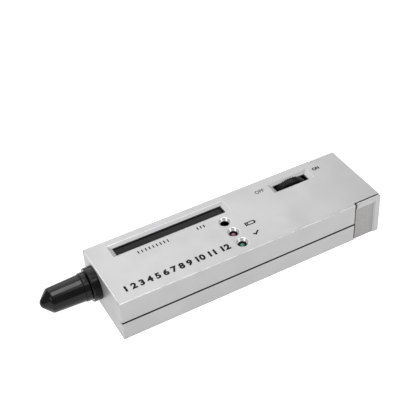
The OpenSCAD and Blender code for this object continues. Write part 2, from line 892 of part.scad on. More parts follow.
module buzzer() {
    color(dark_plastic)
        translate([well_x, well_ys[0], board_top])
            difference() {
                cylinder(h = buzzer_height, d = buzzer_d);
                translate([0, 0, buzzer_height / 2])
                    cylinder(h = buzzer_height, d = buzzer_hole_d);
            }
}

module main_board() {
    color(board_green)
        difference() {
            span([board_x0, -board_half, board_low], [board_x1, board_half, board_top]);
            posts(board_screw_d + 4 * seat_fit, board_low - cut, board_top + cut);
        }
}

module board_screws() {
    color(steel)
        for (p = post_places)
            translate([p[0], p[1], board_top]) {
                cylinder(h = board_head, d = board_head_d);
                translate([0, 0, -board_screw_length])
                    cylinder(h = board_screw_length, d = board_screw_d);
            }
}

module chip(place, pins) {
    translate([place[0], place[1], board_top + chip_stand])
        linear_extrude(chip_height)
            square([pins * pin_pitch, chip_width], center = true);
}

module chip_legs(place, pins) {
    for (i = [0:pins - 1])
        for (side = [0, 1])
            translate([place[0] + (i - (pins - 1) / 2) * pin_pitch, place[1], board_top])
                mirror([0, side, 0])
                    span([-pin_size[0] / 2, chip_width / 2, 0],
                        [pin_size[0] / 2, chip_width / 2 + pin_size[1], chip_stand + chip_height / 2]);
}

module bar_driver_chip() {
    color(dark_plastic)
        chip(driver_place, driver_pins);
}

module amplifier_chip() {
    color(dark_plastic)
        chip(amplifier_place, amplifier_pins);
}

module chip_pins() {
    color(steel) {
        chip_legs(driver_place, driver_pins);
        chip_legs(amplifier_place, amplifier_pins);
    }
}

module capacitors() {
    color([0.15, 0.2, 0.35])
        for (p = capacitor_places)
            translate([p[0], p[1], board_top])
                cylinder(h = capacitor_height, d = capacitor_d);
}

module resistors() {
    color([0.75, 0.65, 0.45])
        for (p = resistor_places)
            translate([p[0] - resistor_length / 2, p[1], board_top + resistor_d / 2])
                rotate([0, 90, 0])
                    cylinder(h = resistor_length, d = resistor_d);
}

module calibration_trimmer() {
    color([0.2, 0.35, 0.65])
        translate([trimmer_place[0], trimmer_place[1], board_top])
            difference() {
                linear_extrude(trimmer[2])
                    square([trimmer[0], trimmer[1]], center = true);
                translate([0, 0, trimmer[2] - trimmer_dial_depth])
                    cylinder(h = cut, d = trimmer_dial_d);
            }
}

// Thumbwheel and switch

module thumbwheel() {
    rim = [for (i = [0:2 * wheel_teeth - 1])
        (wheel_r - tooth_depth * (i % 2)) * [cos(180 * i / wheel_teeth), sin(180 * i / wheel_teeth)]];
    color(black)
        difference() {
            translate([wheel_x, wheel_y1, wheel_z])
                rotate([90, 0, 0])
                    linear_extrude(wheel_width)
                        polygon(rim);
            rod_y(wheel_x, wheel_z, wheel_recess_r, wheel_y0 - cut, web_y0);
            rod_y(wheel_x, wheel_z, shaft_r + seat_fit / 2, wheel_y0, wheel_y1 + cut);
        }
}

module wheel_screw() {
    color(steel) {
        rod_y(wheel_x, wheel_z, wheel_screw_head_d / 2, web_y0 - wheel_screw_head, web_y0);
        rod_y(wheel_x, wheel_z, wheel_screw_d / 2, web_y0, web_y0 + wheel_screw_length);
    }
}

module pot_shaft() {
    color(brass)
        difference() {
            rod_y(wheel_x, wheel_z, shaft_r, web_y0, pot_y1 - slide_fit);
            rod_y(wheel_x, wheel_z, wheel_screw_d / 2 + seat_fit / 2, web_y0 - cut,
                web_y0 + wheel_screw_length + wheel_screw_gap);
        }
}

module switch_pot() {
    color(steel)
        difference() {
            union() {
                rod_y(wheel_x, wheel_z, pot_d / 2, pot_y0, pot_y1);
                translate([wheel_x, 0, 0])
                    span([-terminal_block[0] / 2, pot_y0, block_z0],
                        [terminal_block[0] / 2, pot_y1, block_z1]);
            }
            rod_y(wheel_x, wheel_z, shaft_r + running_fit, pot_y0 - cut, pot_y1 + cut);
        }
}

module pot_terminals() {
    color(brass)
        for (i = [0:lug_count - 1])
            translate([wheel_x + (i - (lug_count - 1) / 2) * lug_pitch, 0, 0])
                span([-lug_width / 2, pot_y1 - lug_thickness, lug_z0], [lug_width / 2, pot_y1, block_z0]);
}

module switch_board() {
    color(board_green)
        translate([wheel_x, 0, 0])
            span([-switch_board_length / 2, pot_y1, wall],
                [switch_board_length / 2, switch_board_y1, switch_board_top]);
}

module switch_leads() {
    color([0.85, 0.85, 0.8])
        for (i = [-1:1])
            lead([for (p = switch_lead_route) p + i * (p[0] > snap_x0 ? [0, 0, 1.4] : [0, 1.2, 0])],
                thin_lead_d);
}

// Battery and its clip

module battery() {
    color([0.2, 0.22, 0.26])
        translate([0, battery_y, battery_z])
            rounded_bar(battery_face, battery_x1, [battery_width, battery_thickness], battery_round);
}

module stud(x0, x1, y, r) {
    translate([x0, y, battery_z])
        rotate([0, 90, 0])
            cylinder(h = x1 - x0, r = r);
}

module battery_terminals() {
    color(steel) {
        stud(battery_x0, battery_face, terminal_ys[1], male_r);
        difference() {
            translate([battery_x0, terminal_ys[0], battery_z])
                rotate([0, 90, 0])
                    cylinder(h = terminal_height, r = female_r, $fn = 6);
            stud(battery_x0 - cut, battery_face + cut, terminal_ys[0], female_bore_r);
        }
    }
}

module battery_snap() {
    color(black)
        translate([0, battery_y, battery_z])
            rounded_bar(snap_x0, snap_x1, snap_size, snap_round);
}

module snap_contacts() {
    reach = battery_face - slide_fit;
    color(steel) {
        stud(snap_x1, reach, terminal_ys[0], female_bore_r - slide_fit);
        difference() {
            stud(snap_x1, reach, terminal_ys[1], male_r + slide_fit + 1);
            stud(snap_x1 - cut, reach + cut, terminal_ys[1], male_r + slide_fit);
        }
    }
}

module battery_lead_red() {
    color([0.7, 0.12, 0.12])
        lead([for (p = snap_lead_route) p + [0, snap_lead_ys[0], 0]], lead_d);
}

module battery_lead_black() {
    color(black)
        lead([for (p = snap_lead_route) p + [0, snap_lead_ys[1], 0]], lead_d);
}

// Probe

module probe_leads() {
    color([0.8, 0.3, 0.25])
        for (side = [-1, 1])
            lead([for (p = probe_lead_route) p + [0, probe_offset + side * probe_lead_pitch / 2, 0]],
                thin_lead_d);
}

module probe_collar() {
    round = 0.6;
    color(black)
        on_probe_axis()
            difference() {
                rotate_extrude()
                    union() {
                        square([collar_d / 2, collar_length - round]);
                        square([collar_d / 2 - round, collar_length]);
                        translate([collar_d / 2 - round, collar_length - round])
                            circle(round);
                    }
                probe_disc(-cut, collar_length + cut, neck_r + seat_fit);
            }
}

module probe_body() {
    color(dark_plastic)
        on_probe_axis()
            difference() {
                union() {
                    probe_disc(probe_rear, -inner_neck, rear_r);
                    probe_disc(-inner_neck, collar_length, neck_r);
                    probe_disc(collar_length, spigot_end, spigot_r);
                    probe_cone(spigot_end, nose_end, nose_r, nose_front_r);
                }
                probe_disc(probe_rear - cut, chamber_end, chamber_r);
                probe_disc(0, nose_end + cut, ferrule_r + seat_fit / 2);
            }
}

module probe_nut() {
    color(steel)
        on_probe_axis()
            difference() {
                translate([0, 0, -inner_neck])
                    rotate(30)
                        cylinder(h = nut_length, d = nut_flats / cos(30), $fn = 6);
                probe_disc(-inner_neck - cut, 0, neck_r + seat_fit / 2);
            }
}

module probe_ferrule() {
    color(brass)
        on_probe_axis()
            difference() {
                probe_disc(chamber_end, ferrule_end, ferrule_r);
                probe_disc(chamber_end - cut, ferrule_end + cut, tip_d / 2 + running_fit);
            }
}

module probe_tip() {
    color(copper)
        on_probe_axis()
            difference() {
                union() {
                    probe_disc(shoulder_back, shoulder_front, chamber_r - slide_fit);
                    probe_disc(shoulder_back, tip_end - tip_d / 2, tip_d / 2);
                    translate([0, 0, tip_end - tip_d / 2])
                        sphere(d = tip_d);
                }
                probe_disc(shoulder_back - cut, shoulder_front + bead_length, bead_r + seat_fit);
            }
}

module tip_thermistor() {
    color([0.3, 0.25, 0.2])
        on_probe_axis() {
            probe_disc(shoulder_front, shoulder_front + bead_length - bead_r - seat_fit, bead_r);
            translate([0, 0, shoulder_front + bead_length - bead_r - seat_fit])
                sphere(bead_r);
        }
}

module probe_spring() {
    steps = len(spring_path) - 1;
    points = [for (i = [0:steps])
        let (a = 360 * i / spring_rings)
        each ring(spring_path[i], spring_wire / 2, [cos(a), sin(a), 0], [-sin(a), cos(a), 0], spring_sides)];
    color(steel)
        on_probe_axis()
            tube(points, steps + 1, spring_sides);
}

// The spring's least gap to itself, between points at least half a turn apart
spring_gap = min([for (i = [0:len(spring_path) - 1])
    for (j = [i + spring_rings / 2:1:len(spring_path) - 1])
        norm(spring_path[i] - spring_path[j])]) - spring_wire;
echo(spring_gap = spring_gap);

module probe_plug() {
    color(dark_plastic)
        on_probe_axis() {
            probe_disc(probe_rear, plug_front, chamber_r - seat_fit / 2);
            probe_disc(probe_rear - plug_flange, probe_rear, rear_r);
        }
}

module probe_cap() {
    barrel_start = cap_mouth + cap_rim_length + cap_groove;
    color(black)
        on_probe_axis()
            difference() {
                union() {
                    probe_disc(cap_mouth, cap_mouth + cap_rim_length, cap_rim_r);
                    probe_disc(cap_mouth, barrel_start, cap_barrel_r - cap_groove);
                    probe_cone(barrel_start, cap_shoulder, cap_barrel_r, cap_shoulder_r);
                    probe_cone(cap_shoulder, cap_touch_x, cap_shoulder_r, cap_touch_r);
                    translate([0, 0, cap_tip_x])
                        sphere(cap_tip_r);
                }
                probe_disc(cap_mouth - cut, spigot_end + slide_fit, cap_bore_r);
                probe_disc(cap_mouth, cavity_end - cavity_cone, cap_inner_r);
                probe_cone(cavity_end - cavity_cone, cavity_end, cap_inner_r, cap_inner_r - cavity_cone / 2);
            }
}

upper_shell();
lower_shell();
battery_door();
case_screws();
bar_window();
bar_leds_green();
bar_leds_amber();
bar_leds_red();
low_battery_led();
ready_led();
led_legs();
buzzer();
thumbwheel();
wheel_screw();
pot_shaft();
switch_pot();
pot_terminals();
switch_board();
main_board();
board_screws();
bar_driver_chip();
amplifier_chip();
chip_pins();
capacitors();
resistors();
calibration_trimmer();
battery();
battery_terminals();
battery_snap();
snap_contacts();
battery_lead_red();
battery_lead_black();
switch_leads();
probe_leads();
probe_collar();
probe_body();
probe_nut();
probe_ferrule();
probe_tip();
tip_thermistor();
probe_spring();
probe_plug();
probe_cap();
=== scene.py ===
import json
import math

import bmesh
import bpy
from mathutils import Matrix, Vector


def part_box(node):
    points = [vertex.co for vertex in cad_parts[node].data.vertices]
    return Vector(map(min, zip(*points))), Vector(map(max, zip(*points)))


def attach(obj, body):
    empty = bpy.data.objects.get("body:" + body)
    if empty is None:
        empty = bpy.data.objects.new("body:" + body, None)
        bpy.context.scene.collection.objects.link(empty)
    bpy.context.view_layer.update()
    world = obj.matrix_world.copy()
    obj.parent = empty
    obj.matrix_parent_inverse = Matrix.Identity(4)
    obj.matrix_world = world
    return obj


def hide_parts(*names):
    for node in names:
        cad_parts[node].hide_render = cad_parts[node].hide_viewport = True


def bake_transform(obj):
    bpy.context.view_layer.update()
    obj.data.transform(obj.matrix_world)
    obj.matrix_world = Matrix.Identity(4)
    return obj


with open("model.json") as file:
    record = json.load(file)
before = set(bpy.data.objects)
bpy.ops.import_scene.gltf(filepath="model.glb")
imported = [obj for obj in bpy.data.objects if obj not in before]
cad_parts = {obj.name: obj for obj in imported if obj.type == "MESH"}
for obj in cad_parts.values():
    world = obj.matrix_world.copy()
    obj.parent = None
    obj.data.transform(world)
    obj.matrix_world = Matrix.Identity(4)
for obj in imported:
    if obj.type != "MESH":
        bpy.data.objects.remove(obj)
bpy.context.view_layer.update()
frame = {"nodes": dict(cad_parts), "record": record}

RECORD = frame["record"]
BODY_OF = {node: body for body, nodes in RECORD["behaviour"]["bodies"].items() for node in nodes}
SLOT_OF = {part["node"]: part["material_slot"] for part in RECORD["subparts"]}
MM = 0.001

# Sizes that the looks share with the part's source, in millimetres
BODY_SIZE = (136.0, 40.0, 22.0)
TOP = BODY_SIZE[2]
SIDE_FACE = 19.8
SEAM_Z = 10.2
SHELL_END = 53.45
WINDOW_END = 2.4
STRIP_BACK = 14.45
STRIP_END = 0.0
SLOT_SLOPE = 46.5
WELL_X = -4.1
WELL_FIRST_Y = 2.5
LAMP_SHOULDER = 18.7
PROBE_PLACE = (-68.0, 7.3, 12.4)
WHEEL_CENTRE = (37.8, 11.5, 12.85)
WHEEL_RADIUS = 10.15
WHEEL_WIDTH = 3.2
LIP_TOP = 21.3
LIP_INSIDE = 19.2
GRIP_INSIDE = 19.05
GRIP_OUTSIDE = 19.30
GRIP_TOP = 19.3
RESISTOR_START = -47.5
RESISTOR_PITCH = 12.35
BATTERY_BAND = (29.2, 29.6)

# Sizes that are the looks' own, in millimetres
SEAM_EDGE = 0.52
JOINT_EDGE = 0.22
WINDOW_END_REACH = 0.4
RIM_FADE = (5.0, 20.0)
SLOT_FADE = 0.2
WELL_REACH = 3.3
STRIP_MARGIN = 0.75
LAMP_HIGHLIGHT_BAND = (18.8, 20.8)
LAMP_RISE = 0.4
LIP_NEAR = -19.12
LIP_FAR = 18.32
INK = 0.03
MERGE = 0.001
MATCH = 0.005

# Turns between faces that show as an edge, in degrees
DRESSED_EDGE = 28.0
RIM_EDGE = 50.0
WIRE_EDGE = 50.0

WHITE = (1.0, 1.0, 1.0)


# Camera, light and floor

def add_object(name, data):
    """A new object in the scene."""
    made = bpy.data.objects.new(name, data)
    bpy.context.scene.collection.objects.link(made)
    return made


def set_camera():
    camera = add_object("photo_camera", bpy.data.cameras.new("photo_camera"))
    right = (0.876320, -0.479001, -0.051206)
    up = (0.343517, 0.546834, 0.763524)
    back = (-0.337727, -0.686681, 0.643747)
    place = Matrix((right, up, back)).transposed().to_4x4()
    place.translation = (-0.156594, -0.283777, 0.308788)
    camera.matrix_world = place
    camera.data.lens = 84.6475
    camera.data.sensor_width = 36
    camera.data.clip_start = 0.01
    bpy.context.scene.camera = camera


def add_softbox(name, place, aim, size, watts):
    lamp = bpy.data.lights.new(name, "AREA")
    lamp.shape = "RECTANGLE"
    lamp.size, lamp.size_y = size
    lamp.energy = watts
    holder = add_object(name, lamp)
    holder.location = place
    holder.rotation_euler = (Vector(aim) - Vector(place)).to_track_quat("-Z", "Y").to_euler()


def set_light():
    bpy.context.scene.view_settings.view_transform = "Standard"
    world = bpy.data.worlds.new("studio")
    world.use_nodes = True
    set_inputs(world.node_tree, world.node_tree.nodes["Background"], {"Color": WHITE, "Strength": 0.32})
    bpy.context.scene.world = world
    housing = (0.0, 0.0, 0.02)
    add_softbox("overhead_softbox", (0.05, 0.05, 0.50), (0.05, 0.05, 0.0), (0.90, 0.30), 0.45)
    add_softbox("strip_softbox", (-0.04, 0.02, 0.46), (-0.04, 0.02, 0.0), (0.09, 0.28), 0.62)
    add_softbox("back_softbox", (0.10, 0.90, 0.76), housing, (1.30, 1.10), 7.8)
    add_softbox("front_softbox", (0.22, -0.38, 0.82), housing, (0.44, 0.24), 0.9)
    add_softbox("right_softbox", (0.57, -0.92, 0.66), housing, (0.50, 0.50), 1.9)
    add_softbox("left_softbox", (-0.80, -0.27, 0.57), housing, (0.44, 0.40), 1.65)


def add_floor():
    size, drop = 3.0, -0.0002
    corners = [(x * size, y * size, drop) for x, y in ((-1, -1), (1, -1), (1, 1), (-1, 1))]
    mesh = bpy.data.meshes.new("studio_floor")
    mesh.from_pydata(corners, [], [(0, 1, 2, 3)])
    floor = add_object("studio_floor", mesh)
    paper, tree, shader = new_finish("studio_paper")
    set_inputs(tree, shader, {
        "Base Color": (0.46, 0.46, 0.46), "Roughness": 0.9, "Specular IOR Level": 0.0,
        "Emission Color": WHITE, "Emission Strength": 1.0})
    mesh.materials.append(paper)


# Nodes of materials and of Geometry Nodes trees

def feed(tree, socket, value):
    """Links a node's output to a socket, or sets the socket to a plain value."""
    if isinstance(value, bpy.types.NodeSocket):
        tree.links.new(value, socket)
    elif socket.type == "RGBA":
        socket.default_value = (*value, 1.0)
    else:
        socket.default_value = value


def set_inputs(tree, node, values):
    for label, value in values.items():
        feed(tree, node.inputs[label], value)


def add_node(tree, kind, values=None, **settings):
    """A node with its settings made and its inputs fed, by name or number."""
    node = tree.nodes.new(kind)
    for setting, value in settings.items():
        setattr(node, setting, value)
    set_inputs(tree, node, values or {})
    return node


def maths(tree, operation, *values, clamp=False):
    return add_node(tree, "ShaderNodeMath", dict(enumerate(values)), operation=operation, use_clamp=clamp).outputs[0]


def vector_maths(tree, operation, *values):
    return add_node(tree, "ShaderNodeVectorMath", dict(enumerate(values)), operation=operation).outputs[0]


def axes(tree, vector):
    """A vector's X, Y and Z."""
    return add_node(tree, "ShaderNodeSeparateXYZ", {0: vector}).outputs


def noise(tree, vector, scale, detail=2.0, roughness=0.5):
    return add_node(tree, "ShaderNodeTexNoise", {
        "Vector": vector, "Scale": scale, "Detail": detail, "Roughness": roughness}).outputs["Fac"]


def remap(tree, value, low, high, to_low, to_high):
    return add_node(tree, "ShaderNodeMapRange", {
        "Value": value, "From Min": low, "From Max": high, "To Min": to_low, "To Max": to_high},
        interpolation_type="SMOOTHSTEP").outputs["Result"]


def below(tree, value, limit):
    return maths(tree, "LESS_THAN", value, limit)


def above(tree, value, limit):
    return maths(tree, "GREATER_THAN", value, limit)


def near(tree, value, place, reach):
    """What lies within a reach of a place, both in millimetres."""
    return below(tree, maths(tree, "ABSOLUTE", maths(tree, "SUBTRACT", value, place * MM)), reach * MM)


def both(tree, first, second):
    return maths(tree, "MULTIPLY", first, second)


def either(tree, first, second):
    return maths(tree, "MAXIMUM", first, second)


def all_but(tree, mask):
    return maths(tree, "SUBTRACT", 1.0, mask)


def blend_colours(tree, factor, first, second):
    node = add_node(tree, "ShaderNodeMix", {"Factor": factor}, data_type="RGBA")
    for socket, value in zip([s for s in node.inputs if s.type == "RGBA"], (first, second)):
        feed(tree, socket, value)
    return [s for s in node.outputs if s.type == "RGBA"][0]


# Shader groups shared by the finishes

def new_group(name, inputs, outputs):
    """An empty group that takes coordinates and the named values, and gives the named numbers."""
    group = bpy.data.node_groups.new(name, "ShaderNodeTree")
    group.interface.new_socket("Vector", in_out="INPUT", socket_type="NodeSocketVector")
    for label, value in inputs.items():
        kind = "NodeSocketVector" if isinstance(value, tuple) else "NodeSocketFloat"
        group.interface.new_socket(label, in_out="INPUT", socket_type=kind).default_value = value
    for label in outputs:
        group.interface.new_socket(label, in_out="OUTPUT", socket_type="NodeSocketFloat")
    return group, group.nodes.new("NodeGroupInput").outputs, group.nodes.new("NodeGroupOutput").inputs


def make_moulded_grain():
    """Fine skin of a moulded or sprayed surface, and slow changes of its tone."""
    group, given, result = new_group(
        "moulded_grain", {"Grain Scale": 4000.0, "Tone Scale": 60.0}, ["Height", "Tone"])
    fine = noise(group, given["Vector"], given["Grain Scale"], 3.0, 0.6)
    slow = noise(group, given["Vector"], given["Tone Scale"], 2.0, 0.5)
    group.links.new(fine, result["Height"])
    group.links.new(remap(group, slow, 0.3, 0.7, -1.0, 1.0), result["Tone"])
    return group


def make_handling_smudges():
    """Where hands have polished or dulled a surface, as a change of roughness."""
    group, given, result = new_group(
        "handling_smudges", {"Scale": 90.0, "Base": 0.4, "Amount": 0.06}, ["Roughness"])
    cloud = noise(group, given["Vector"], given["Scale"], 4.0, 0.55)
    swing = maths(group, "MULTIPLY", remap(group, cloud, 0.35, 0.65, -1.0, 1.0), given["Amount"])
    group.links.new(maths(group, "ADD", given["Base"], swing, clamp=True), result["Roughness"])
    return group


def make_edge_wear_and_highlight():
    """Lighter outer edges of a box, partly wear and partly painted highlight, broken up by noise: the long edges, and a
    share of those at its ends.
    """
    group, given, result = new_group(
        "edge_wear_and_highlight", {"Centre": (0.0, 0.0, 0.0), "Half Size": (1.0, 1.0, 1.0), "Width": 0.001, "End Share": 1.0,
                      "Break Up Scale": 300.0}, ["Mask"])
    offset = vector_maths(group, "ABSOLUTE", vector_maths(group, "SUBTRACT", given["Vector"], given["Centre"]))
    x, y, z = axes(group, vector_maths(group, "SUBTRACT", given["Half Size"], offset))
    nearest_long = maths(group, "MAXIMUM", y, z)
    nearest_end = maths(group, "MAXIMUM", x, maths(group, "MINIMUM", y, z))
    along, round_end = [remap(group, nearest, 0.0, given["Width"], 1.0, 0.0)
                        for nearest in (nearest_long, nearest_end)]
    lightening = either(group, along, maths(group, "MULTIPLY", round_end, given["End Share"]))
    patches = noise(group, given["Vector"], given["Break Up Scale"], 3.0, 0.6)
    group.links.new(maths(group, "MULTIPLY", lightening, remap(group, patches, 0.35, 0.65, 0.45, 1.0)), result["Mask"])
    return group


def make_paint_reach():
    """Where the spray reached: the outer skin and the slopes of the top's openings, but not the seams."""
    group, given, result = new_group(
        "paint_reach", {"Centre": (0.0, 0.0, 0.0), "Half Size": (1.0, 1.0, 1.0), "Skin": 0.0003, "Side Skin": 0.0003,
                        "Opening Depth": 0.00128, "Opening Side": 0.0175, "Front Strip": 0.0025, "Rim": 0.00024,
                        "Flat": 0.00001}, ["Mask", "Slopes", "Rims"])
    offset = vector_maths(group, "SUBTRACT", given["Vector"], given["Centre"])
    across = vector_maths(group, "ABSOLUTE", offset)
    x, y, z = axes(group, vector_maths(group, "SUBTRACT", given["Half Size"], across))
    below_top = axes(group, vector_maths(group, "SUBTRACT", given["Half Size"], offset))["Z"]
    from_front = axes(group, vector_maths(group, "ADD", given["Half Size"], offset))["Y"]
    ends = below(group, maths(group, "MINIMUM", x, z), given["Skin"])
    sides = below(group, y, given["Side Skin"])
    reached = below(group, below_top, given["Opening Depth"])
    middle = below(group, axes(group, across)["Y"], given["Opening Side"])
    behind = above(group, from_front, given["Front Strip"])
    slopes = both(group, both(group, reached, middle), above(group, below_top, given["Flat"]))
    rims = both(group, slopes, below(group, below_top, given["Rim"]))
    skin = either(group, ends, sides)
    group.links.new(either(group, skin, both(group, reached, behind)), result["Mask"])
    group.links.new(slopes, result["Slopes"])
    group.links.new(rims, result["Rims"])
    return group


MOULDED_GRAIN = make_moulded_grain()
HANDLING_SMUDGES = make_handling_smudges()
EDGE_WEAR_AND_HIGHLIGHT = make_edge_wear_and_highlight()
PAINT_REACH = make_paint_reach()


# Finishes

def new_finish(name):
    material = bpy.data.materials.new(name)
    material.use_nodes = True
    tree = material.node_tree
    tree.nodes.clear()
    shader = tree.nodes.new("ShaderNodeBsdfPrincipled")
    add_node(tree, "ShaderNodeOutputMaterial", {"Surface": shader.outputs["BSDF"]})
    return material, tree, shader


def object_coords(tree):
    return tree.nodes.new("ShaderNodeTexCoord").outputs["Object"]


def fed_by(socket):
    return socket.links[0].from_socket


def place_group(tree, group, coords, values):
    """A shared group with this finish's own values."""
    return add_node(tree, "ShaderNodeGroup", {"Vector": coords, **values}, node_tree=group).outputs


def skin_and_tone(tree, coords, grain_scale, tone_scale):
    """Height of the moulded grain, and its tone from 0 to 1."""
    grain = place_group(tree, MOULDED_GRAIN, coords, {"Grain Scale": grain_scale, "Tone Scale": tone_scale})
    return grain["Height"], remap(tree, grain["Tone"], -1.0, 1.0, 0.0, 1.0)


def hand_polish(tree, coords, scale, base, amount):
    """Roughness with the marks of hands."""
    return place_group(tree, HANDLING_SMUDGES, coords, {"Scale": scale, "Base": base, "Amount": amount})["Roughness"]


def add_bump(tree, shader, height, strength, distance):
    bump = add_node(tree, "ShaderNodeBump", {"Height": height, "Strength": strength, "Distance": distance})
    tree.links.new(bump.outputs["Normal"], shader.inputs["Normal"])


def grained_finish(name, dark, light, roughness, swing=0.05, grain=4000.0, bump=0.00002, tone_scale=60.0,
                   smudge_scale=90.0, specular=0.5):
    """A skinned or sprayed surface: slow tone changes, fine grain and hand polish."""
    material, tree, shader = new_finish(name)
    coords = object_coords(tree)
    height, tone = skin_and_tone(tree, coords, grain, tone_scale)
    set_inputs(tree, shader, {
        "Base Color": blend_colours(tree, tone, dark, light), "Specular IOR Level": specular,
        "Roughness": hand_polish(tree, coords, smudge_scale, roughness, swing)})
    add_bump(tree, shader, height, 0.5, bump)
    return material


def silver_paint(name, stippled_grips=False):
    """Sprayed silver on the moulded housing, lighter along its outer edges as wear and painted highlight, with painted
    highlights on the slopes and rims of its openings, and bare dark plastic in its seams.
    """
    material = grained_finish(name, (0.396, 0.394, 0.398), (0.420, 0.418, 0.422), 0.39, swing=0.04, grain=6000.0,
                              bump=0.000010, tone_scale=45.0, smudge_scale=70.0)
    lit_slope_colour, lit_well_colour, bare_plastic = (0.50, 0.50, 0.505), (0.62, 0.62, 0.625), (0.016, 0.016, 0.0165)
    end_share, side_skin, bright = (1.0, 0.00095, 0.60) if stippled_grips else (0.15, 0.00012, 0.88)
    metal_share, well_polish = 0.48, 0.14
    tree = material.node_tree
    shader = tree.nodes["Principled BSDF"]
    coords = object_coords(tree)
    half = tuple(side * MM / 2 for side in BODY_SIZE)
    box = {"Centre": (0.0, 0.0, half[2]), "Half Size": half}
    # Lighter outer edges: partly wear, partly painted highlight.
    edge_light_and_wear = place_group(tree, EDGE_WEAR_AND_HIGHLIGHT, coords, {
        **box, "Width": 0.0006, "Break Up Scale": 260.0, "End Share": end_share})
    reach = place_group(tree, PAINT_REACH, coords, {**box, "Side Skin": side_skin})
    wells = lamp_wells(tree, coords, reach["Slopes"])
    slopes = both(tree, reach["Slopes"], slot_end_light(tree, coords))
    # Painted highlight on the rims of the openings, joined with the lighter edges.
    wear_and_highlight = either(tree, edge_light_and_wear["Mask"], both(tree, reach["Rims"], rim_highlight(tree, coords)))
    # Lighter slopes and wells of the openings: painted highlight.
    paint = blend_colours(tree, slopes, fed_by(shader.inputs["Base Color"]), lit_slope_colour)
    paint = blend_colours(tree, wells, paint, lit_well_colour)
    paint = blend_colours(tree, wear_and_highlight, paint, (bright, bright, bright))
    painted = reach["Mask"]
    if not stippled_grips:
        painted = both(tree, painted, all_but(tree, seam_edges(tree, coords)))
    shine = maths(tree, "MULTIPLY", painted, metal_share)
    if stippled_grips:
        paint, shine = grips_and_lit_lips(tree, shader, coords, paint, shine)
    polish = maths(tree, "MULTIPLY", wells, well_polish)
    set_inputs(tree, shader, {
        "Base Color": blend_colours(tree, painted, bare_plastic, paint), "Metallic": shine,
        "Roughness": maths(tree, "SUBTRACT", fed_by(shader.inputs["Roughness"]), polish)})
    return material


def rim_highlight(tree, coords):
    """How strong the painted highlight on the rims of the openings is: hardly any at the window's battery end, and
    little at the wheel.
    """
    at_window, at_wheel, unlit_share = 0.5, 0.12, 0.9
    x = axes(tree, coords)["X"]
    unlit_window_end = maths(tree, "MULTIPLY", near(tree, x, WINDOW_END, WINDOW_END_REACH), unlit_share)
    lightening = remap(tree, x, RIM_FADE[0] * MM, RIM_FADE[1] * MM, at_window, at_wheel)
    return both(tree, lightening, all_but(tree, unlit_window_end))


def slot_end_light(tree, coords):
    """How strong the painted highlight on the slopes is: less on the one at the far end of the wheel's slot."""
    full, faint = 1.0, 0.2
    x = axes(tree, coords)["X"]
    return remap(tree, x, (SLOT_SLOPE - SLOT_FADE) * MM, (SLOT_SLOPE + SLOT_FADE) * MM, full, faint)


def lamp_wells(tree, coords, slopes):
    """The cones of the three wells, which the mould left smoother than the flats, and which are given a lighter colour
    as painted highlight.
    """
    x, y, _ = axes(tree, coords)
    row = both(tree, near(tree, x, WELL_X, WELL_REACH), below(tree, y, (WELL_FIRST_Y + WELL_REACH) * MM))
    return both(tree, slopes, row)


def seam_edges(tree, coords):
    """The long edges along the seam and the upright ones beside the door, where the spray stayed off."""
    x, y, z = axes(tree, coords)
    along = near(tree, z, SEAM_Z, SEAM_EDGE)
    upright = above(tree, x, (SHELL_END - JOINT_EDGE) * MM)
    sides = above(tree, maths(tree, "ABSOLUTE", y), SIDE_FACE * MM)
    return both(tree, either(tree, along, upright), sides)


def grips_and_lit_lips(tree, shader, coords, paint, shine):
    """Pitted floor of the finger grips in a darker colour, and the lips' inner faces above them made light and
    non-metal as painted light.
    """
    lip_painted_light, pit_depth, darker_floor_share = (0.80, 0.80, 0.80), 6.0, 0.85
    _, y, z = axes(tree, coords)
    side = maths(tree, "ABSOLUTE", y)
    level = both(tree, below(tree, side, GRIP_OUTSIDE * MM), above(tree, side, GRIP_INSIDE * MM))
    lip = both(tree, level, above(tree, z, GRIP_TOP * MM))
    floor = maths(tree, "SUBTRACT", level, lip)
    pits = both(tree, noise(tree, coords, 2600.0, 1.0, 0.4), floor)
    height = shader.inputs["Normal"].links[0].from_node.inputs["Height"]
    tree.links.new(maths(tree, "MULTIPLY_ADD", pits, pit_depth, fed_by(height)), height)
    grit = remap(tree, noise(tree, coords, 1500.0, 3.0, 0.7), 0.3, 0.7, 0.0, 1.0)
    # Darker colour on the grips' floor.
    darker_floor = blend_colours(tree, grit, (0.225, 0.219, 0.210), (0.315, 0.306, 0.294))
    paint = blend_colours(tree, maths(tree, "MULTIPLY", floor, darker_floor_share), paint, darker_floor)
    # Painted light on the lips' inner faces.
    paint = blend_colours(tree, lip, paint, lip_painted_light)
    return paint, both(tree, shine, all_but(tree, lip))


def satin_black(name, roughness=0.15):
    return grained_finish(name, (0.0030, 0.0030, 0.0032), (0.0050, 0.0050, 0.0053), roughness, swing=0.03,
                          grain=3500.0, bump=0.000004, tone_scale=120.0, smudge_scale=150.0, specular=0.22)


def smoked_strip(name):
    """Polished dark strip: slow changes of depth, faint hairlines along its length, and black margins at back and end
    as painted shade.
    """
    material, tree, shader = new_finish(name)
    coords = object_coords(tree)
    x, y, _ = axes(tree, coords)
    # Painted shade: black margins along the back and the end.
    painted_shade_margins = either(tree, above(tree, y, (STRIP_BACK - STRIP_MARGIN) * MM),
                     above(tree, x, (STRIP_END - STRIP_MARGIN) * MM))
    _, tone = skin_and_tone(tree, coords, 900.0, 80.0)
    tint = blend_colours(tree, tone, (0.0205, 0.0200, 0.0200), (0.0235, 0.0230, 0.0230))
    hairlines = noise(tree, vector_maths(tree, "MULTIPLY", coords, (120.0, 5200.0, 100.0)), 1.0)
    set_inputs(tree, shader, {
        "Base Color": blend_colours(tree, painted_shade_margins, tint, (0.002, 0.002, 0.002)), "Specular IOR Level": 0.03,
        "Roughness": remap(tree, hairlines, 0.45, 0.75, 0.10, 0.20)})
    add_bump(tree, shader, hairlines, 0.15, 0.000004)
    return material


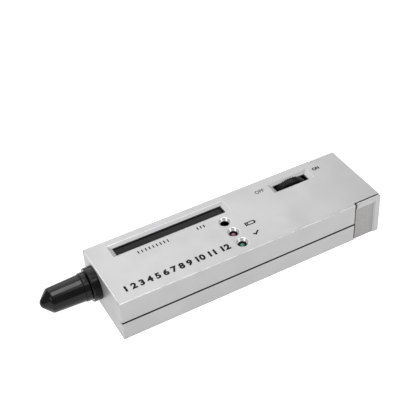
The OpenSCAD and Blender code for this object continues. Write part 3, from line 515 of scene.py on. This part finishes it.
def tinted_lamp(name, deep, bright):
    """Cast lamp body: colour lighter towards the top of its dome as painted highlight, with a faint cloud inside."""
    material, tree, shader = new_finish(name)
    coords = object_coords(tree)
    clouds = place_group(tree, MOULDED_GRAIN, coords, {"Grain Scale": 2500.0, "Tone Scale": 900.0})["Tone"]
    cloud_share = 0.12
    # Painted highlight: the dome's colour brightens towards its top.
    painted_highlight = remap(tree, axes(tree, coords)["Z"], LAMP_HIGHLIGHT_BAND[0] * MM, LAMP_HIGHLIGHT_BAND[1] * MM, 0.0, 1.0)
    depth = maths(tree, "MULTIPLY_ADD", clouds, cloud_share, painted_highlight)
    set_inputs(tree, shader, {
        "Base Color": blend_colours(tree, depth, deep, bright), "Coat Weight": 0.25, "Coat Roughness": 0.05,
        "Roughness": hand_polish(tree, coords, 600.0, 0.10, 0.04)})
    return material


def drawn_metal(name, dark, light, roughness, along=(1.0, 1.0, 1.0)):
    """Plated or turned metal with fine drawing marks."""
    material, tree, shader = new_finish(name)
    coords = object_coords(tree)
    fineness, swing = 6000.0, 0.07
    _, tone = skin_and_tone(tree, coords, 2500.0, 500.0)
    marks = noise(tree, vector_maths(tree, "MULTIPLY", coords, tuple(fineness * a for a in along)), 1.0)
    set_inputs(tree, shader, {
        "Base Color": blend_colours(tree, tone, dark, light), "Metallic": 1.0,
        "Roughness": remap(tree, marks, 0.3, 0.7, roughness - swing, roughness + swing)})
    add_bump(tree, shader, marks, 0.2, 0.000006)
    return material


def lacquered_board(name):
    """Green lacquer over copper tracks, with pads and a fine weave."""
    material, tree, shader = new_finish(name)
    coords = object_coords(tree)
    cells = add_node(tree, "ShaderNodeTexBrick", {
        "Vector": coords, "Scale": 160.0, "Mortar Size": 0.06, "Brick Width": 0.9, "Row Height": 0.28,
        "Color1": (0.022, 0.115, 0.050), "Color2": (0.028, 0.150, 0.066), "Mortar": (0.016, 0.080, 0.036)})
    dots = add_node(tree, "ShaderNodeTexVoronoi", {"Vector": coords, "Scale": 390.0, "Randomness": 0.35})
    pads = remap(tree, dots.outputs["Distance"], 0.16, 0.20, 1.0, 0.0)
    set_inputs(tree, shader, {
        "Base Color": blend_colours(tree, pads, cells.outputs["Color"], (0.42, 0.42, 0.38)),
        "Roughness": hand_polish(tree, coords, 200.0, 0.30, 0.08)})
    add_bump(tree, shader, cells.outputs["Fac"], 0.3, 0.00003)
    return material


def banded_body(name, bands, ground):
    """Lacquered resistor bodies along X, with plain colour rings on each."""
    material, tree, shader = new_finish(name)
    coords = object_coords(tree)
    ring = 0.05
    from_first = maths(tree, "SUBTRACT", axes(tree, coords)["X"], RESISTOR_START * MM)
    along = maths(tree, "FRACT", maths(tree, "DIVIDE", from_first, RESISTOR_PITCH * MM))
    colours = add_node(tree, "ShaderNodeValToRGB", {"Fac": along})
    ramp = colours.color_ramp
    ramp.interpolation = "CONSTANT"
    stops = [(0.0, ground)]
    for at, colour in bands:
        stops += [(at, colour), (at + ring, ground)]
    while len(ramp.elements) < len(stops):
        ramp.elements.new(0.5)
    for element, (at, colour) in zip(ramp.elements, stops):
        element.position = at
        element.color = (*colour, 1.0)
    set_inputs(tree, shader, {
        "Base Color": colours.outputs["Color"], "Roughness": hand_polish(tree, coords, 700.0, 0.35, 0.06)})
    return material


def battery_jacket(name):
    """Plain dark wrapped jacket with a lighter band round the terminal end."""
    material, tree, shader = new_finish(name)
    coords = object_coords(tree)
    band = remap(tree, axes(tree, coords)["X"], BATTERY_BAND[0] * MM, BATTERY_BAND[1] * MM, 1.0, 0.0)
    _, tone = skin_and_tone(tree, coords, 1500.0, 90.0)
    jacket = blend_colours(tree, tone, (0.045, 0.050, 0.060), (0.060, 0.065, 0.076))
    set_inputs(tree, shader, {
        "Base Color": blend_colours(tree, band, jacket, (0.24, 0.25, 0.26)), "Metallic": 0.5,
        "Roughness": hand_polish(tree, coords, 120.0, 0.30, 0.07)})
    return material


FINISHES = {
    "silver_plastic": silver_paint("sprayed_silver"),
    "black_plastic": satin_black("satin_black"),
    "dark_plastic": satin_black("matt_black", 0.5),
    "smoked_lens": smoked_strip("smoked_strip"),
    "green_lamp": tinted_lamp("green_lamp_body", (0.007, 0.034, 0.022), (0.034, 0.140, 0.094)),
    "amber_lamp": tinted_lamp("amber_lamp_body", (0.30, 0.14, 0.015), (0.55, 0.30, 0.05)),
    "red_lamp": tinted_lamp("red_lamp_body", (0.050, 0.009, 0.012), (0.190, 0.056, 0.070)),
    "steel": drawn_metal("plated_steel", (0.50, 0.51, 0.53), (0.60, 0.61, 0.63), 0.28),
    "tinned_wire": drawn_metal("tinned_wire", (0.56, 0.56, 0.54), (0.66, 0.66, 0.64), 0.35),
    "brass": drawn_metal("turned_brass", (0.62, 0.46, 0.19), (0.74, 0.58, 0.28), 0.25, (1.0, 0.1, 0.1)),
    "copper": drawn_metal("turned_copper", (0.62, 0.30, 0.18), (0.74, 0.40, 0.26), 0.24, (1.0, 0.1, 0.1)),
    "circuit_board": lacquered_board("lacquered_board"),
    "capacitor_sleeve": grained_finish("capacitor_sleeve", (0.020, 0.030, 0.085), (0.030, 0.042, 0.110), 0.3),
    "resistor_body": banded_body(
        "resistor_body",
        [(0.07, (0.16, 0.06, 0.02)), (0.15, (0.01, 0.01, 0.01)), (0.22, (0.45, 0.10, 0.02)), (0.32, (0.5, 0.36, 0.1))],
        (0.52, 0.40, 0.24)),
    "trimmer_blue": grained_finish("trimmer_blue", (0.030, 0.090, 0.330), (0.045, 0.115, 0.390), 0.35),
    "battery_jacket": battery_jacket("wrapped_jacket"),
    "red_wire": grained_finish("red_insulation", (0.36, 0.018, 0.018), (0.45, 0.028, 0.026), 0.45),
    "black_wire": grained_finish("black_insulation", (0.014, 0.014, 0.014), (0.024, 0.024, 0.024), 0.45),
    "grey_wire": grained_finish("grey_insulation", (0.36, 0.36, 0.34), (0.44, 0.44, 0.42), 0.45),
}
DOOR_PAINT = silver_paint("door_silver", stippled_grips=True)
WHEEL_BLACK = grained_finish("wheel_black", (0.004, 0.004, 0.0043), (0.008, 0.008, 0.0083), 0.30, grain=3500.0,
                             bump=0.000006, tone_scale=300.0, smudge_scale=400.0, specular=0.22)
PRINT_INK = grained_finish("printed_ink", (0.006, 0.006, 0.007), (0.012, 0.012, 0.013), 0.55, swing=0.06,
                           grain=9000.0, bump=0.000004, specular=0.08)


# Building pieces

def new_piece(name, mesh, material):
    piece = add_object(name, mesh)
    mesh.materials.clear()
    mesh.materials.append(material)
    return piece


def stand_for(piece, node):
    """The piece takes the node's place and body, and the node is hidden. The spring gets no body: its place is baked
    into its mesh.
    """
    if node == "probe_spring":
        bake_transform(piece)
    else:
        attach(piece, BODY_OF[node])
    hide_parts(node)


def keep_mesh(name, bm):
    """Worked geometry as a mesh."""
    mesh = bpy.data.meshes.new(name)
    bm.to_mesh(mesh)
    bm.free()
    return mesh


def made_mesh(holder):
    """What an object's curve, text or modifiers make, as a plain mesh."""
    bpy.context.view_layer.update()
    depsgraph = bpy.context.evaluated_depsgraph_get()
    return bpy.data.meshes.new_from_object(holder.evaluated_get(depsgraph), depsgraph=depsgraph)


def mark_sharp(bm, degrees):
    limit = math.radians(degrees)
    for face in bm.faces:
        face.smooth = True
    for edge in bm.edges:
        edge.smooth = len(edge.link_faces) == 2 and edge.calc_face_angle(0.0) < limit


def soften_rims(bm):
    """Shades the chamfers round the openings in the top as worn roundings."""
    limit, level = math.radians(RIM_EDGE), TOP - 0.01
    for edge in bm.edges:
        if all(vert.co.z > level * MM for vert in edge.verts) and edge.calc_face_angle(math.pi) < limit:
            edge.smooth = True


def finish_piece(name, bm, node, material=None):
    """Makes worked geometry the piece that stands for a node. Large flats stay flat beside small roundings."""
    piece = new_piece(name, keep_mesh(name, bm), material or FINISHES[SLOT_OF[node]])
    weights = piece.modifiers.new("flat_weights", "WEIGHTED_NORMAL")
    weights.keep_sharp = True
    weights.weight = 60
    mesh = made_mesh(piece)
    piece.modifiers.clear()
    piece.data = mesh
    stand_for(piece, node)


def dress(node, material=None, reshape=None):
    """A smooth-shaded copy of a CAD node in its real finish."""
    bm = bmesh.new()
    bm.from_mesh(frame["nodes"][node].data)
    bmesh.ops.remove_doubles(bm, verts=bm.verts, dist=MERGE * MM)
    if reshape:
        reshape(bm)
    mark_sharp(bm, DRESSED_EDGE)
    soften_rims(bm)
    finish_piece(node + "_dressed", bm, node, material)


def lathe(profile, place, axis, segments=128, degrees=30.0):
    """A closed ring profile of (distance along the axis, radius), in millimetres, turned about an axis."""
    bm = bmesh.new()
    along = Vector(axis).normalized()
    across = along.orthogonal().normalized()
    other = along.cross(across)
    turns = [2.0 * math.pi * k / segments for k in range(segments)]
    on_axis = 1e-6
    rings = []
    for distance, radius in profile:
        centre = Vector(place) + along * distance
        if radius < on_axis:
            rings.append([bm.verts.new(centre * MM)])
        else:
            rings.append([bm.verts.new((centre + (across * math.cos(turn) + other * math.sin(turn)) * radius) * MM)
                          for turn in turns])
    for here, there in zip(rings, rings[1:] + rings[:1]):
        if len(here) == 1 and len(there) == 1:
            continue
        for k in range(segments):
            n = (k + 1) % segments
            corners = [here[k % len(here)], here[n % len(here)], there[n % len(there)], there[k % len(there)]]
            bm.faces.new(list(dict.fromkeys(corners)))
    bmesh.ops.recalc_face_normals(bm, faces=bm.faces)
    mark_sharp(bm, degrees)
    return bm


def arc(centre, radius, start, end, steps):
    """Points of a rounding in a profile, with angles in degrees from the axis direction."""
    turns = [math.radians(start + (end - start) * i / steps) for i in range(steps + 1)]
    return [(centre[0] + radius * math.cos(t), centre[1] + radius * math.sin(t)) for t in turns]


# Geometry Nodes trees

def new_tree(name, inputs):
    """An empty tree whose group input has the named sizes, with Realize Instances and Set Material at its end."""
    tree = bpy.data.node_groups.new(name, "GeometryNodeTree")
    tree.interface.new_socket("Geometry", in_out="OUTPUT", socket_type="NodeSocketGeometry")
    for label, kind in [("Geometry", "Geometry"), *inputs, ("Finish", "Material")]:
        tree.interface.new_socket(label, in_out="INPUT", socket_type="NodeSocket" + kind)
    given = tree.nodes.new("NodeGroupInput").outputs
    real = tree.nodes.new("GeometryNodeRealizeInstances")
    finish = add_node(tree, "GeometryNodeSetMaterial", {"Geometry": real.outputs[0], "Material": given["Finish"]})
    add_node(tree, "NodeGroupOutput", {0: finish.outputs[0]})
    return tree, given, real.inputs[0]


def grow(name, tree, base, values):
    """Runs a tree on a base mesh or curve and keeps the plain mesh that it makes."""
    holder = add_object(name, base)
    modifier = holder.modifiers.new(name, "NODES")
    modifier.node_group = tree
    for socket in tree.interface.items_tree:
        if socket.in_out == "INPUT" and socket.name in values:
            modifier[socket.identifier] = values[socket.name]
    mesh = made_mesh(holder)
    bpy.data.objects.remove(holder)
    return mesh


def make_rim_teeth_tree():
    """Three-sided teeth round a wheel's rim, their tips on its radius, turning about Y."""
    tree, given, end = new_tree("rim_teeth", [
        ("Teeth", "Int"), ("Radius", "Float"), ("Tooth", "Float"), ("Width", "Float"), ("Centre", "Vector")])
    ring = add_node(tree, "GeometryNodeMeshCircle", {
        "Vertices": given["Teeth"], "Radius": maths(tree, "SUBTRACT", given["Radius"], given["Tooth"])})
    tooth = add_node(tree, "GeometryNodeMeshCylinder", {
        "Vertices": 3, "Radius": given["Tooth"], "Depth": given["Width"]})
    place = tree.nodes.new("GeometryNodeInputPosition")
    outward = add_node(tree, "FunctionNodeAlignRotationToVector", {"Vector": place.outputs[0]},
                       axis="X", pivot_axis="Z")
    copies = add_node(tree, "GeometryNodeInstanceOnPoints", {
        "Points": ring.outputs[0], "Instance": tooth.outputs["Mesh"], "Rotation": outward.outputs[0]})
    turn = add_node(tree, "GeometryNodeTransform", {
        "Geometry": copies.outputs[0], "Translation": given["Centre"], "Rotation": (math.pi / 2, 0.0, 0.0)})
    tree.links.new(turn.outputs[0], end)
    return tree


def make_fastener_grid_tree():
    """Copies of one fastener at the four corners of a rectangle."""
    tree, given, end = new_tree("fastener_grid", [("Length", "Float"), ("Width", "Float"), ("Centre", "Vector")])
    grid = add_node(tree, "GeometryNodeMeshGrid", {
        "Vertices X": 2, "Vertices Y": 2, "Size X": given["Length"], "Size Y": given["Width"]})
    move = add_node(tree, "GeometryNodeTransform", {"Geometry": grid.outputs["Mesh"], "Translation": given["Centre"]})
    copies = add_node(tree, "GeometryNodeInstanceOnPoints", {
        "Points": move.outputs[0], "Instance": given["Geometry"]})
    tree.links.new(copies.outputs[0], end)
    return tree


def make_wire_tree():
    """Round insulation along a route."""
    tree, given, end = new_tree("insulated_wire", [("Thickness", "Float"), ("Sides", "Int")])
    section = add_node(tree, "GeometryNodeCurvePrimitiveCircle", {
        "Resolution": given["Sides"], "Radius": maths(tree, "MULTIPLY", given["Thickness"], 0.5)})
    sweep = add_node(tree, "GeometryNodeCurveToMesh", {
        "Curve": given["Geometry"], "Profile Curve": section.outputs[0], "Fill Caps": True})
    tree.links.new(sweep.outputs[0], end)
    return tree


def make_print_row_tree():
    """A row of equal printed bars."""
    tree, given, end = new_tree("printed_row", [
        ("Count", "Int"), ("Step", "Vector"), ("Start", "Vector"), ("Bar", "Vector")])
    row = add_node(tree, "GeometryNodeMeshLine", {
        "Count": given["Count"], "Start Location": given["Start"], "Offset": given["Step"]})
    bar = add_node(tree, "GeometryNodeMeshCube", {"Size": given["Bar"]})
    copies = add_node(tree, "GeometryNodeInstanceOnPoints", {
        "Points": row.outputs[0], "Instance": bar.outputs["Mesh"]})
    tree.links.new(copies.outputs[0], end)
    return tree


RIM_TEETH = make_rim_teeth_tree()
FASTENER_GRID = make_fastener_grid_tree()
INSULATED_WIRE = make_wire_tree()
PRINTED_ROW = make_print_row_tree()


# Pieces, with their sizes in millimetres

def close_lips(bm):
    """Brings the inner edges of the door's lips up to the top plate: close on the near side, tight on the far side."""
    for vert in bm.verts:
        if vert.co.z > LIP_TOP * MM and abs(abs(vert.co.y) - LIP_INSIDE * MM) < MATCH * MM:
            vert.co.y = LIP_FAR * MM if vert.co.y > 0.0 else LIP_NEAR * MM


def raise_dome(bm):
    """Lets a lamp's round end stand up in its well."""
    for vert in bm.verts:
        if vert.co.z > LAMP_SHOULDER * MM:
            vert.co.z += LAMP_RISE * MM


def turn_on_probe(name, profile, node, degrees):
    """A ring profile turned about the probe's axis, away from the end wall."""
    finish_piece(name, lathe(profile, PROBE_PLACE, (-1, 0, 0), degrees=degrees), node)


def build_cap():
    """Push-on cap: rim, groove, tapering barrel and cone with a rounded tip, hollow inside."""
    mouth, rim_end, cone_start, cap_end = 4.3, 6.9, 22.2, 26.8
    rim, barrel, shoulder, tip = 6.8, 6.4, 5.85, 2.9
    mouth_round, rim_round, barrel_round, barrel_step, bend = 0.3, 0.25, 0.15, 0.005, 0.9
    groove_width, groove_depth = 0.3, 0.3
    grip, grip_end, bore, bore_end, nose, nose_end = 4.88, 9.3, 4.3, 20.3, 2.85, 23.2
    start, groove = rim_end + groove_width, barrel - groove_depth
    slope = math.atan2(barrel - shoulder, cone_start - start)
    tip_at = cap_end - tip
    reach = math.hypot(tip_at - cone_start, shoulder)
    lean = math.atan2(shoulder, tip_at - cone_start) - math.asin(tip / reach)
    touch = math.degrees(math.pi / 2 - lean)
    profile = [(mouth, grip), (mouth, rim - mouth_round)]
    profile += arc((mouth + mouth_round, rim - mouth_round), mouth_round, 180, 90, 5)[1:]
    profile += arc((rim_end - rim_round, rim - rim_round), rim_round, 90, 0, 4)
    profile += [(rim_end, groove), (start, groove), (start, barrel - barrel_round)]
    profile += arc((start + barrel_round, barrel - barrel_round - barrel_step), barrel_round, 180, 90, 3)[1:]
    first = Vector((cone_start - bend, shoulder + bend * math.tan(slope)))
    middle = Vector((cone_start, shoulder))
    last = Vector((cone_start + bend * math.cos(lean), shoulder - bend * math.sin(lean)))
    steps = 8
    for step in range(steps + 1):
        share = step / steps
        point = first * (1 - share) ** 2 + middle * 2 * share * (1 - share) + last * share ** 2
        profile.append((point.x, point.y))
    profile += arc((tip_at, 0.0), tip, touch, 0, 12)[:-1]
    profile += [(cap_end, 0.0), (nose_end, 0.0), (nose_end, nose), (bore_end, bore), (grip_end, bore), (grip_end, grip)]
    turn_on_probe("cap_shell", profile, "probe_cap", 24.0)


def build_collar():
    """Large ring against the end wall, rounded at its front edge."""
    radius, length, bore, foot_round, front_round = 8.1, 4.0, 5.1, 0.15, 0.6
    profile = [(0.0, bore), (0.0, radius - foot_round)]
    profile += arc((foot_round, radius - foot_round), foot_round, 180, 90, 3)[1:]
    profile += arc((length - front_round, radius - front_round), front_round, 90, 0, 6)
    profile += [(length, bore)]
    turn_on_probe("collar_ring", profile, "probe_collar", 40.0)


def build_thumbwheel():
    """Recessed wheel with a toothed rim."""
    teeth, tooth, tooth_margin = 64, 0.6, 0.5
    hole, core, edge = 1.55, WHEEL_RADIUS - 0.45, 0.3
    recess, recess_depth, recess_bevel = WHEEL_RADIUS - 2.8, 1.0, 0.2
    half = WHEEL_WIDTH / 2
    floor = -half + recess_depth
    profile = [(floor, hole), (floor, recess - recess_bevel), (floor - recess_bevel, recess), (-half, recess),
               (-half, core - edge), (-half + edge, core), (half - edge, core), (half, core - edge), (half, hole)]
    bm = lathe(profile, WHEEL_CENTRE, (0, 1, 0))
    bm.from_mesh(grow("wheel_teeth", RIM_TEETH, bpy.data.meshes.new("wheel_teeth_base"), {
        "Teeth": teeth, "Radius": WHEEL_RADIUS * MM, "Tooth": tooth * MM, "Width": (WHEEL_WIDTH - tooth_margin) * MM,
        "Centre": tuple(c * MM for c in WHEEL_CENTRE), "Finish": WHEEL_BLACK}))
    stand_for(new_piece("knurled_wheel", keep_mesh("knurled_wheel", bm), WHEEL_BLACK), "thumbwheel")


def fastener_mesh(name, head_d, head, shank_d, shank):
    """One cross-head screw, its seat at the origin and its head upwards."""
    point_radius, point, rim = shank_d * 0.32, shank_d * 0.3, 0.1
    dome, crown, steps = head * 0.35, 0.45, 5
    cross_length, cross_width, cross_height = head_d * 0.58, head_d * 0.13, head * 0.9
    profile = [(-shank, 0.0), (-shank, point_radius), (-shank + point, shank_d / 2), (0.0, shank_d / 2),
               (0.0, head_d / 2 - rim), (rim, head_d / 2), (head - dome, head_d / 2)]
    for step in range(1, steps + 1):
        turn = math.radians(90.0 * step / steps)
        profile.append((head - dome + dome * math.sin(turn), head_d / 2 * (crown + (1 - crown) * math.cos(turn))))
    profile.append((head, 0.0))
    screw = add_object(name, keep_mesh(name, lathe(profile, (0, 0, 0), (0, 0, 1), 40, 40.0)))
    bm = bmesh.new()
    for size in ((cross_length, cross_width), (cross_width, cross_length)):
        bmesh.ops.create_cube(bm, size=MM, matrix=Matrix.Translation((0, 0, head * MM))
                              @ Matrix.Diagonal((*size, cross_height, 1.0)))
    cutter = add_object(name + "_cross", keep_mesh(name + "_cross", bm))
    cross = screw.modifiers.new("cross", "BOOLEAN")
    cross.operation = "DIFFERENCE"
    cross.solver = "EXACT"
    cross.use_self = True
    cross.object = cutter
    finished = made_mesh(screw)
    bpy.data.objects.remove(cutter)
    bpy.data.objects.remove(screw)
    return finished


def build_fasteners():
    """Two sets of four screws: the case's from below, and the board's from above."""
    for name, head_d, head, shank_d, shank, seat, turn in (("case", 4.2, 1.8, 2.5, 11.0, 5.0, math.pi),
                                                           ("board", 3.8, 1.3, 1.7, 6.0, 12.5, 0.0)):
        node = name + "_screws"
        low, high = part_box(node)
        fastener = fastener_mesh(name + "_fastener", head_d, head, shank_d, shank)
        fastener.transform(Matrix.Rotation(turn, 4, "X"))
        mesh = grow(name + "_screw_set", FASTENER_GRID, fastener, {
            "Length": high.x - low.x - head_d * MM, "Width": high.y - low.y - head_d * MM,
            "Centre": ((low.x + high.x) / 2, (low.y + high.y) / 2, seat * MM), "Finish": FINISHES["steel"]})
        stand_for(new_piece(name + "_screw_set", mesh, FINISHES["steel"]), node)


def smooth_route(points, per_span=5):
    """Points on a smooth curve through a route's points."""
    knots = [Vector(p) for p in points]
    knots = [knots[0]] + knots + [knots[-1]]
    route = []
    for i in range(1, len(knots) - 2):
        a, b, c, d = knots[i - 1:i + 3]
        for step in range(per_span):
            t = step / per_span
            route.append(0.5 * ((2 * b) + (c - a) * t + (2 * a - 5 * b + 4 * c - d) * t ** 2
                                + (3 * b - a - 3 * c + d) * t ** 3))
    return route + [knots[-1]]


def build_wires(name, routes, thickness, node):
    curve = bpy.data.curves.new(name, "CURVE")
    curve.dimensions = "3D"
    for route in routes:
        points = smooth_route(route)
        spline = curve.splines.new("POLY")
        spline.points.add(len(points) - 1)
        for target, point in zip(spline.points, points):
            target.co = (*(point * MM), 1.0)
    finish = FINISHES[SLOT_OF[node]]
    mesh = grow(name, INSULATED_WIRE, curve, {"Thickness": thickness * MM, "Sides": 20, "Finish": finish})
    bm = bmesh.new()
    bm.from_mesh(mesh)
    mark_sharp(bm, WIRE_EDGE)
    bm.to_mesh(mesh)
    bm.free()
    stand_for(new_piece(name, mesh, finish), node)


def build_leads():
    battery_wire, thin_wire = 1.1, 0.8
    snap = [(13.55, 10.85), (11.5, 11.25), (8.7, 13.0), (5.6, 14.4), (3.1, 14.6), (1.5, 13.8), (1.1, 12.7)]
    for colour, y in (("red", -0.55), ("black", -8.55)):
        build_wires(colour + "_battery_wire", [[(x, y, z) for x, z in snap]], battery_wire, "battery_lead_" + colour)
    probe = [(-60.15, 12.7), (-59.0, 13.1), (-57.4, 14.0), (-55.8, 14.0), (-55.0, 13.4), (-54.8, 12.7)]
    apart = 1.2
    build_wires("probe_wires", [[(x, PROBE_PLACE[1] + side, z) for x, z in probe] for side in (-apart, apart)],
                thin_wire, "probe_leads")
    switch = [(29.45, 16.25, 14.15), (29.25, 15.0, 14.15), (27.45, 14.2, 14.15), (23.85, 12.6, 14.15),
              (19.85, 11.4, 14.15), (14.0, 10.8, 14.4), (8.0, 10.6, 14.8), (4.0, 10.6, 14.6), (1.8, 10.6, 13.8),
              (1.4, 10.6, 12.7)]
    twist, above_each_other = 13.7, 1.4
    routes = [[(x, y, z + above_each_other * i) if x > twist else (x, y + apart * i, z) for x, y, z in switch]
              for i in (-1, 0, 1)]
    build_wires("switch_wires", routes, thin_wire, "switch_leads")


# Printed marks on the top

def print_mesh(name, mesh):
    piece = new_piece(name, mesh, PRINT_INK)
    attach(piece, "housing")


def print_text(name, words, box, stroke):
    """Words fitted into a box of (x0, y0, x1, y1) on the top, their strokes thickened before that."""
    text = bpy.data.curves.new(name, "FONT")
    text.body = words
    text.bevel_depth = stroke
    text.bevel_resolution = 0
    text.fill_mode = "BOTH"
    text.extrude = 0.01
    holder = add_object(name + "_outline", text)
    mesh = made_mesh(holder)
    bpy.data.objects.remove(holder)
    places = list(zip(*[v.co for v in mesh.vertices]))
    low = Vector([min(side) for side in places])
    size = Vector([max(side) for side in places]) - low
    start, room = (box[0], box[1], TOP), (box[2] - box[0], box[3] - box[1], INK)
    for v in mesh.vertices:
        v.co = [(start[k] + (v.co[k] - low[k]) * room[k] / size[k]) * MM for k in range(3)]
    print_mesh(name, mesh)


def print_shapes(name, outlines):
    """Flat printed shapes from closed outlines, in millimetres."""
    bm = bmesh.new()
    for outline in outlines:
        low = [bm.verts.new((x * MM, y * MM, TOP * MM)) for x, y in outline]
        high = [bm.verts.new((x * MM, y * MM, (TOP + INK) * MM)) for x, y in outline]
        bm.faces.new(high)
        bm.faces.new(list(reversed(low)))
        for i in range(len(outline)):
            j = (i + 1) % len(outline)
            bm.faces.new((low[i], low[j], high[j], high[i]))
    bmesh.ops.recalc_face_normals(bm, faces=bm.faces)
    print_mesh(name, keep_mesh(name, bm))


def box_outline(x0, y0, x1, y1):
    return [(x0, y0), (x1, y0), (x1, y1), (x0, y1)]


def print_row(name, count, start, step, bar):
    print_mesh(name, grow(name, PRINTED_ROW, bpy.data.meshes.new(name + "_base"), {
        "Count": count, "Start": (start[0] * MM, start[1] * MM, (TOP + INK / 2) * MM), "Step": (step * MM, 0.0, 0.0),
        "Bar": (bar[0] * MM, bar[1] * MM, INK * MM), "Finish": PRINT_INK}))


def print_marks():
    print_text("scale_numbers", "1 2 3 4 5 6 7 8 9 10 11 12", (-62.0, -14.7, -10.0, -10.8), 0.052)
    print_text("on_mark", "ON", (51.4, 12.0, 55.1, 14.1), 0.050)
    print_text("off_mark", "OFF", (18.5, 11.5, 23.3, 13.7), 0.010)
    print_row("low_scale_ticks", 9, (-46.9, 4.95), 1.85, (0.55, 1.9))
    print_row("high_scale_ticks", 3, (-16.8, 4.95), 1.65, (0.6, 1.8))
    line, inset, charge, pole, pole_inset = 0.55, 0.75, 0.9, 0.5, 0.7
    x0, y0, x1, y1 = 2.9, -5.5, 7.9, -3.2
    print_shapes("battery_sign", [
        box_outline(x0, y0, x1, y0 + line), box_outline(x0, y1 - line, x1, y1),
        box_outline(x0, y0 + line, x0 + line, y1 - line), box_outline(x1 - line, y0 + line, x1, y1 - line),
        box_outline(x1, y0 + pole_inset, x1 + pole, y1 - pole_inset),
        box_outline(x0 + inset, y0 + inset, x0 + inset + charge, y1 - inset)])
    print_shapes("ready_tick", [
        [(2.8, -11.5), (3.3, -11.0), (4.0, -11.7), (5.9, -10.1), (6.35, -10.65), (4.0, -12.8)]])


# Assembly

REBUILT = {"probe_cap", "probe_collar", "thumbwheel", "case_screws", "board_screws", "battery_lead_red",
           "battery_lead_black", "switch_leads", "probe_leads"}
RESHAPED = {"battery_door": close_lips, "low_battery_led": raise_dome, "ready_led": raise_dome}

set_camera()
set_light()
add_floor()
build_leads()
build_cap()
build_collar()
build_thumbwheel()
build_fasteners()
for cad_node in sorted(frame["nodes"]):
    if cad_node not in REBUILT:
        dress(cad_node, DOOR_PAINT if cad_node == "battery_door" else None, RESHAPED.get(cad_node))
print_marks()

bpy.context.view_layer.update()
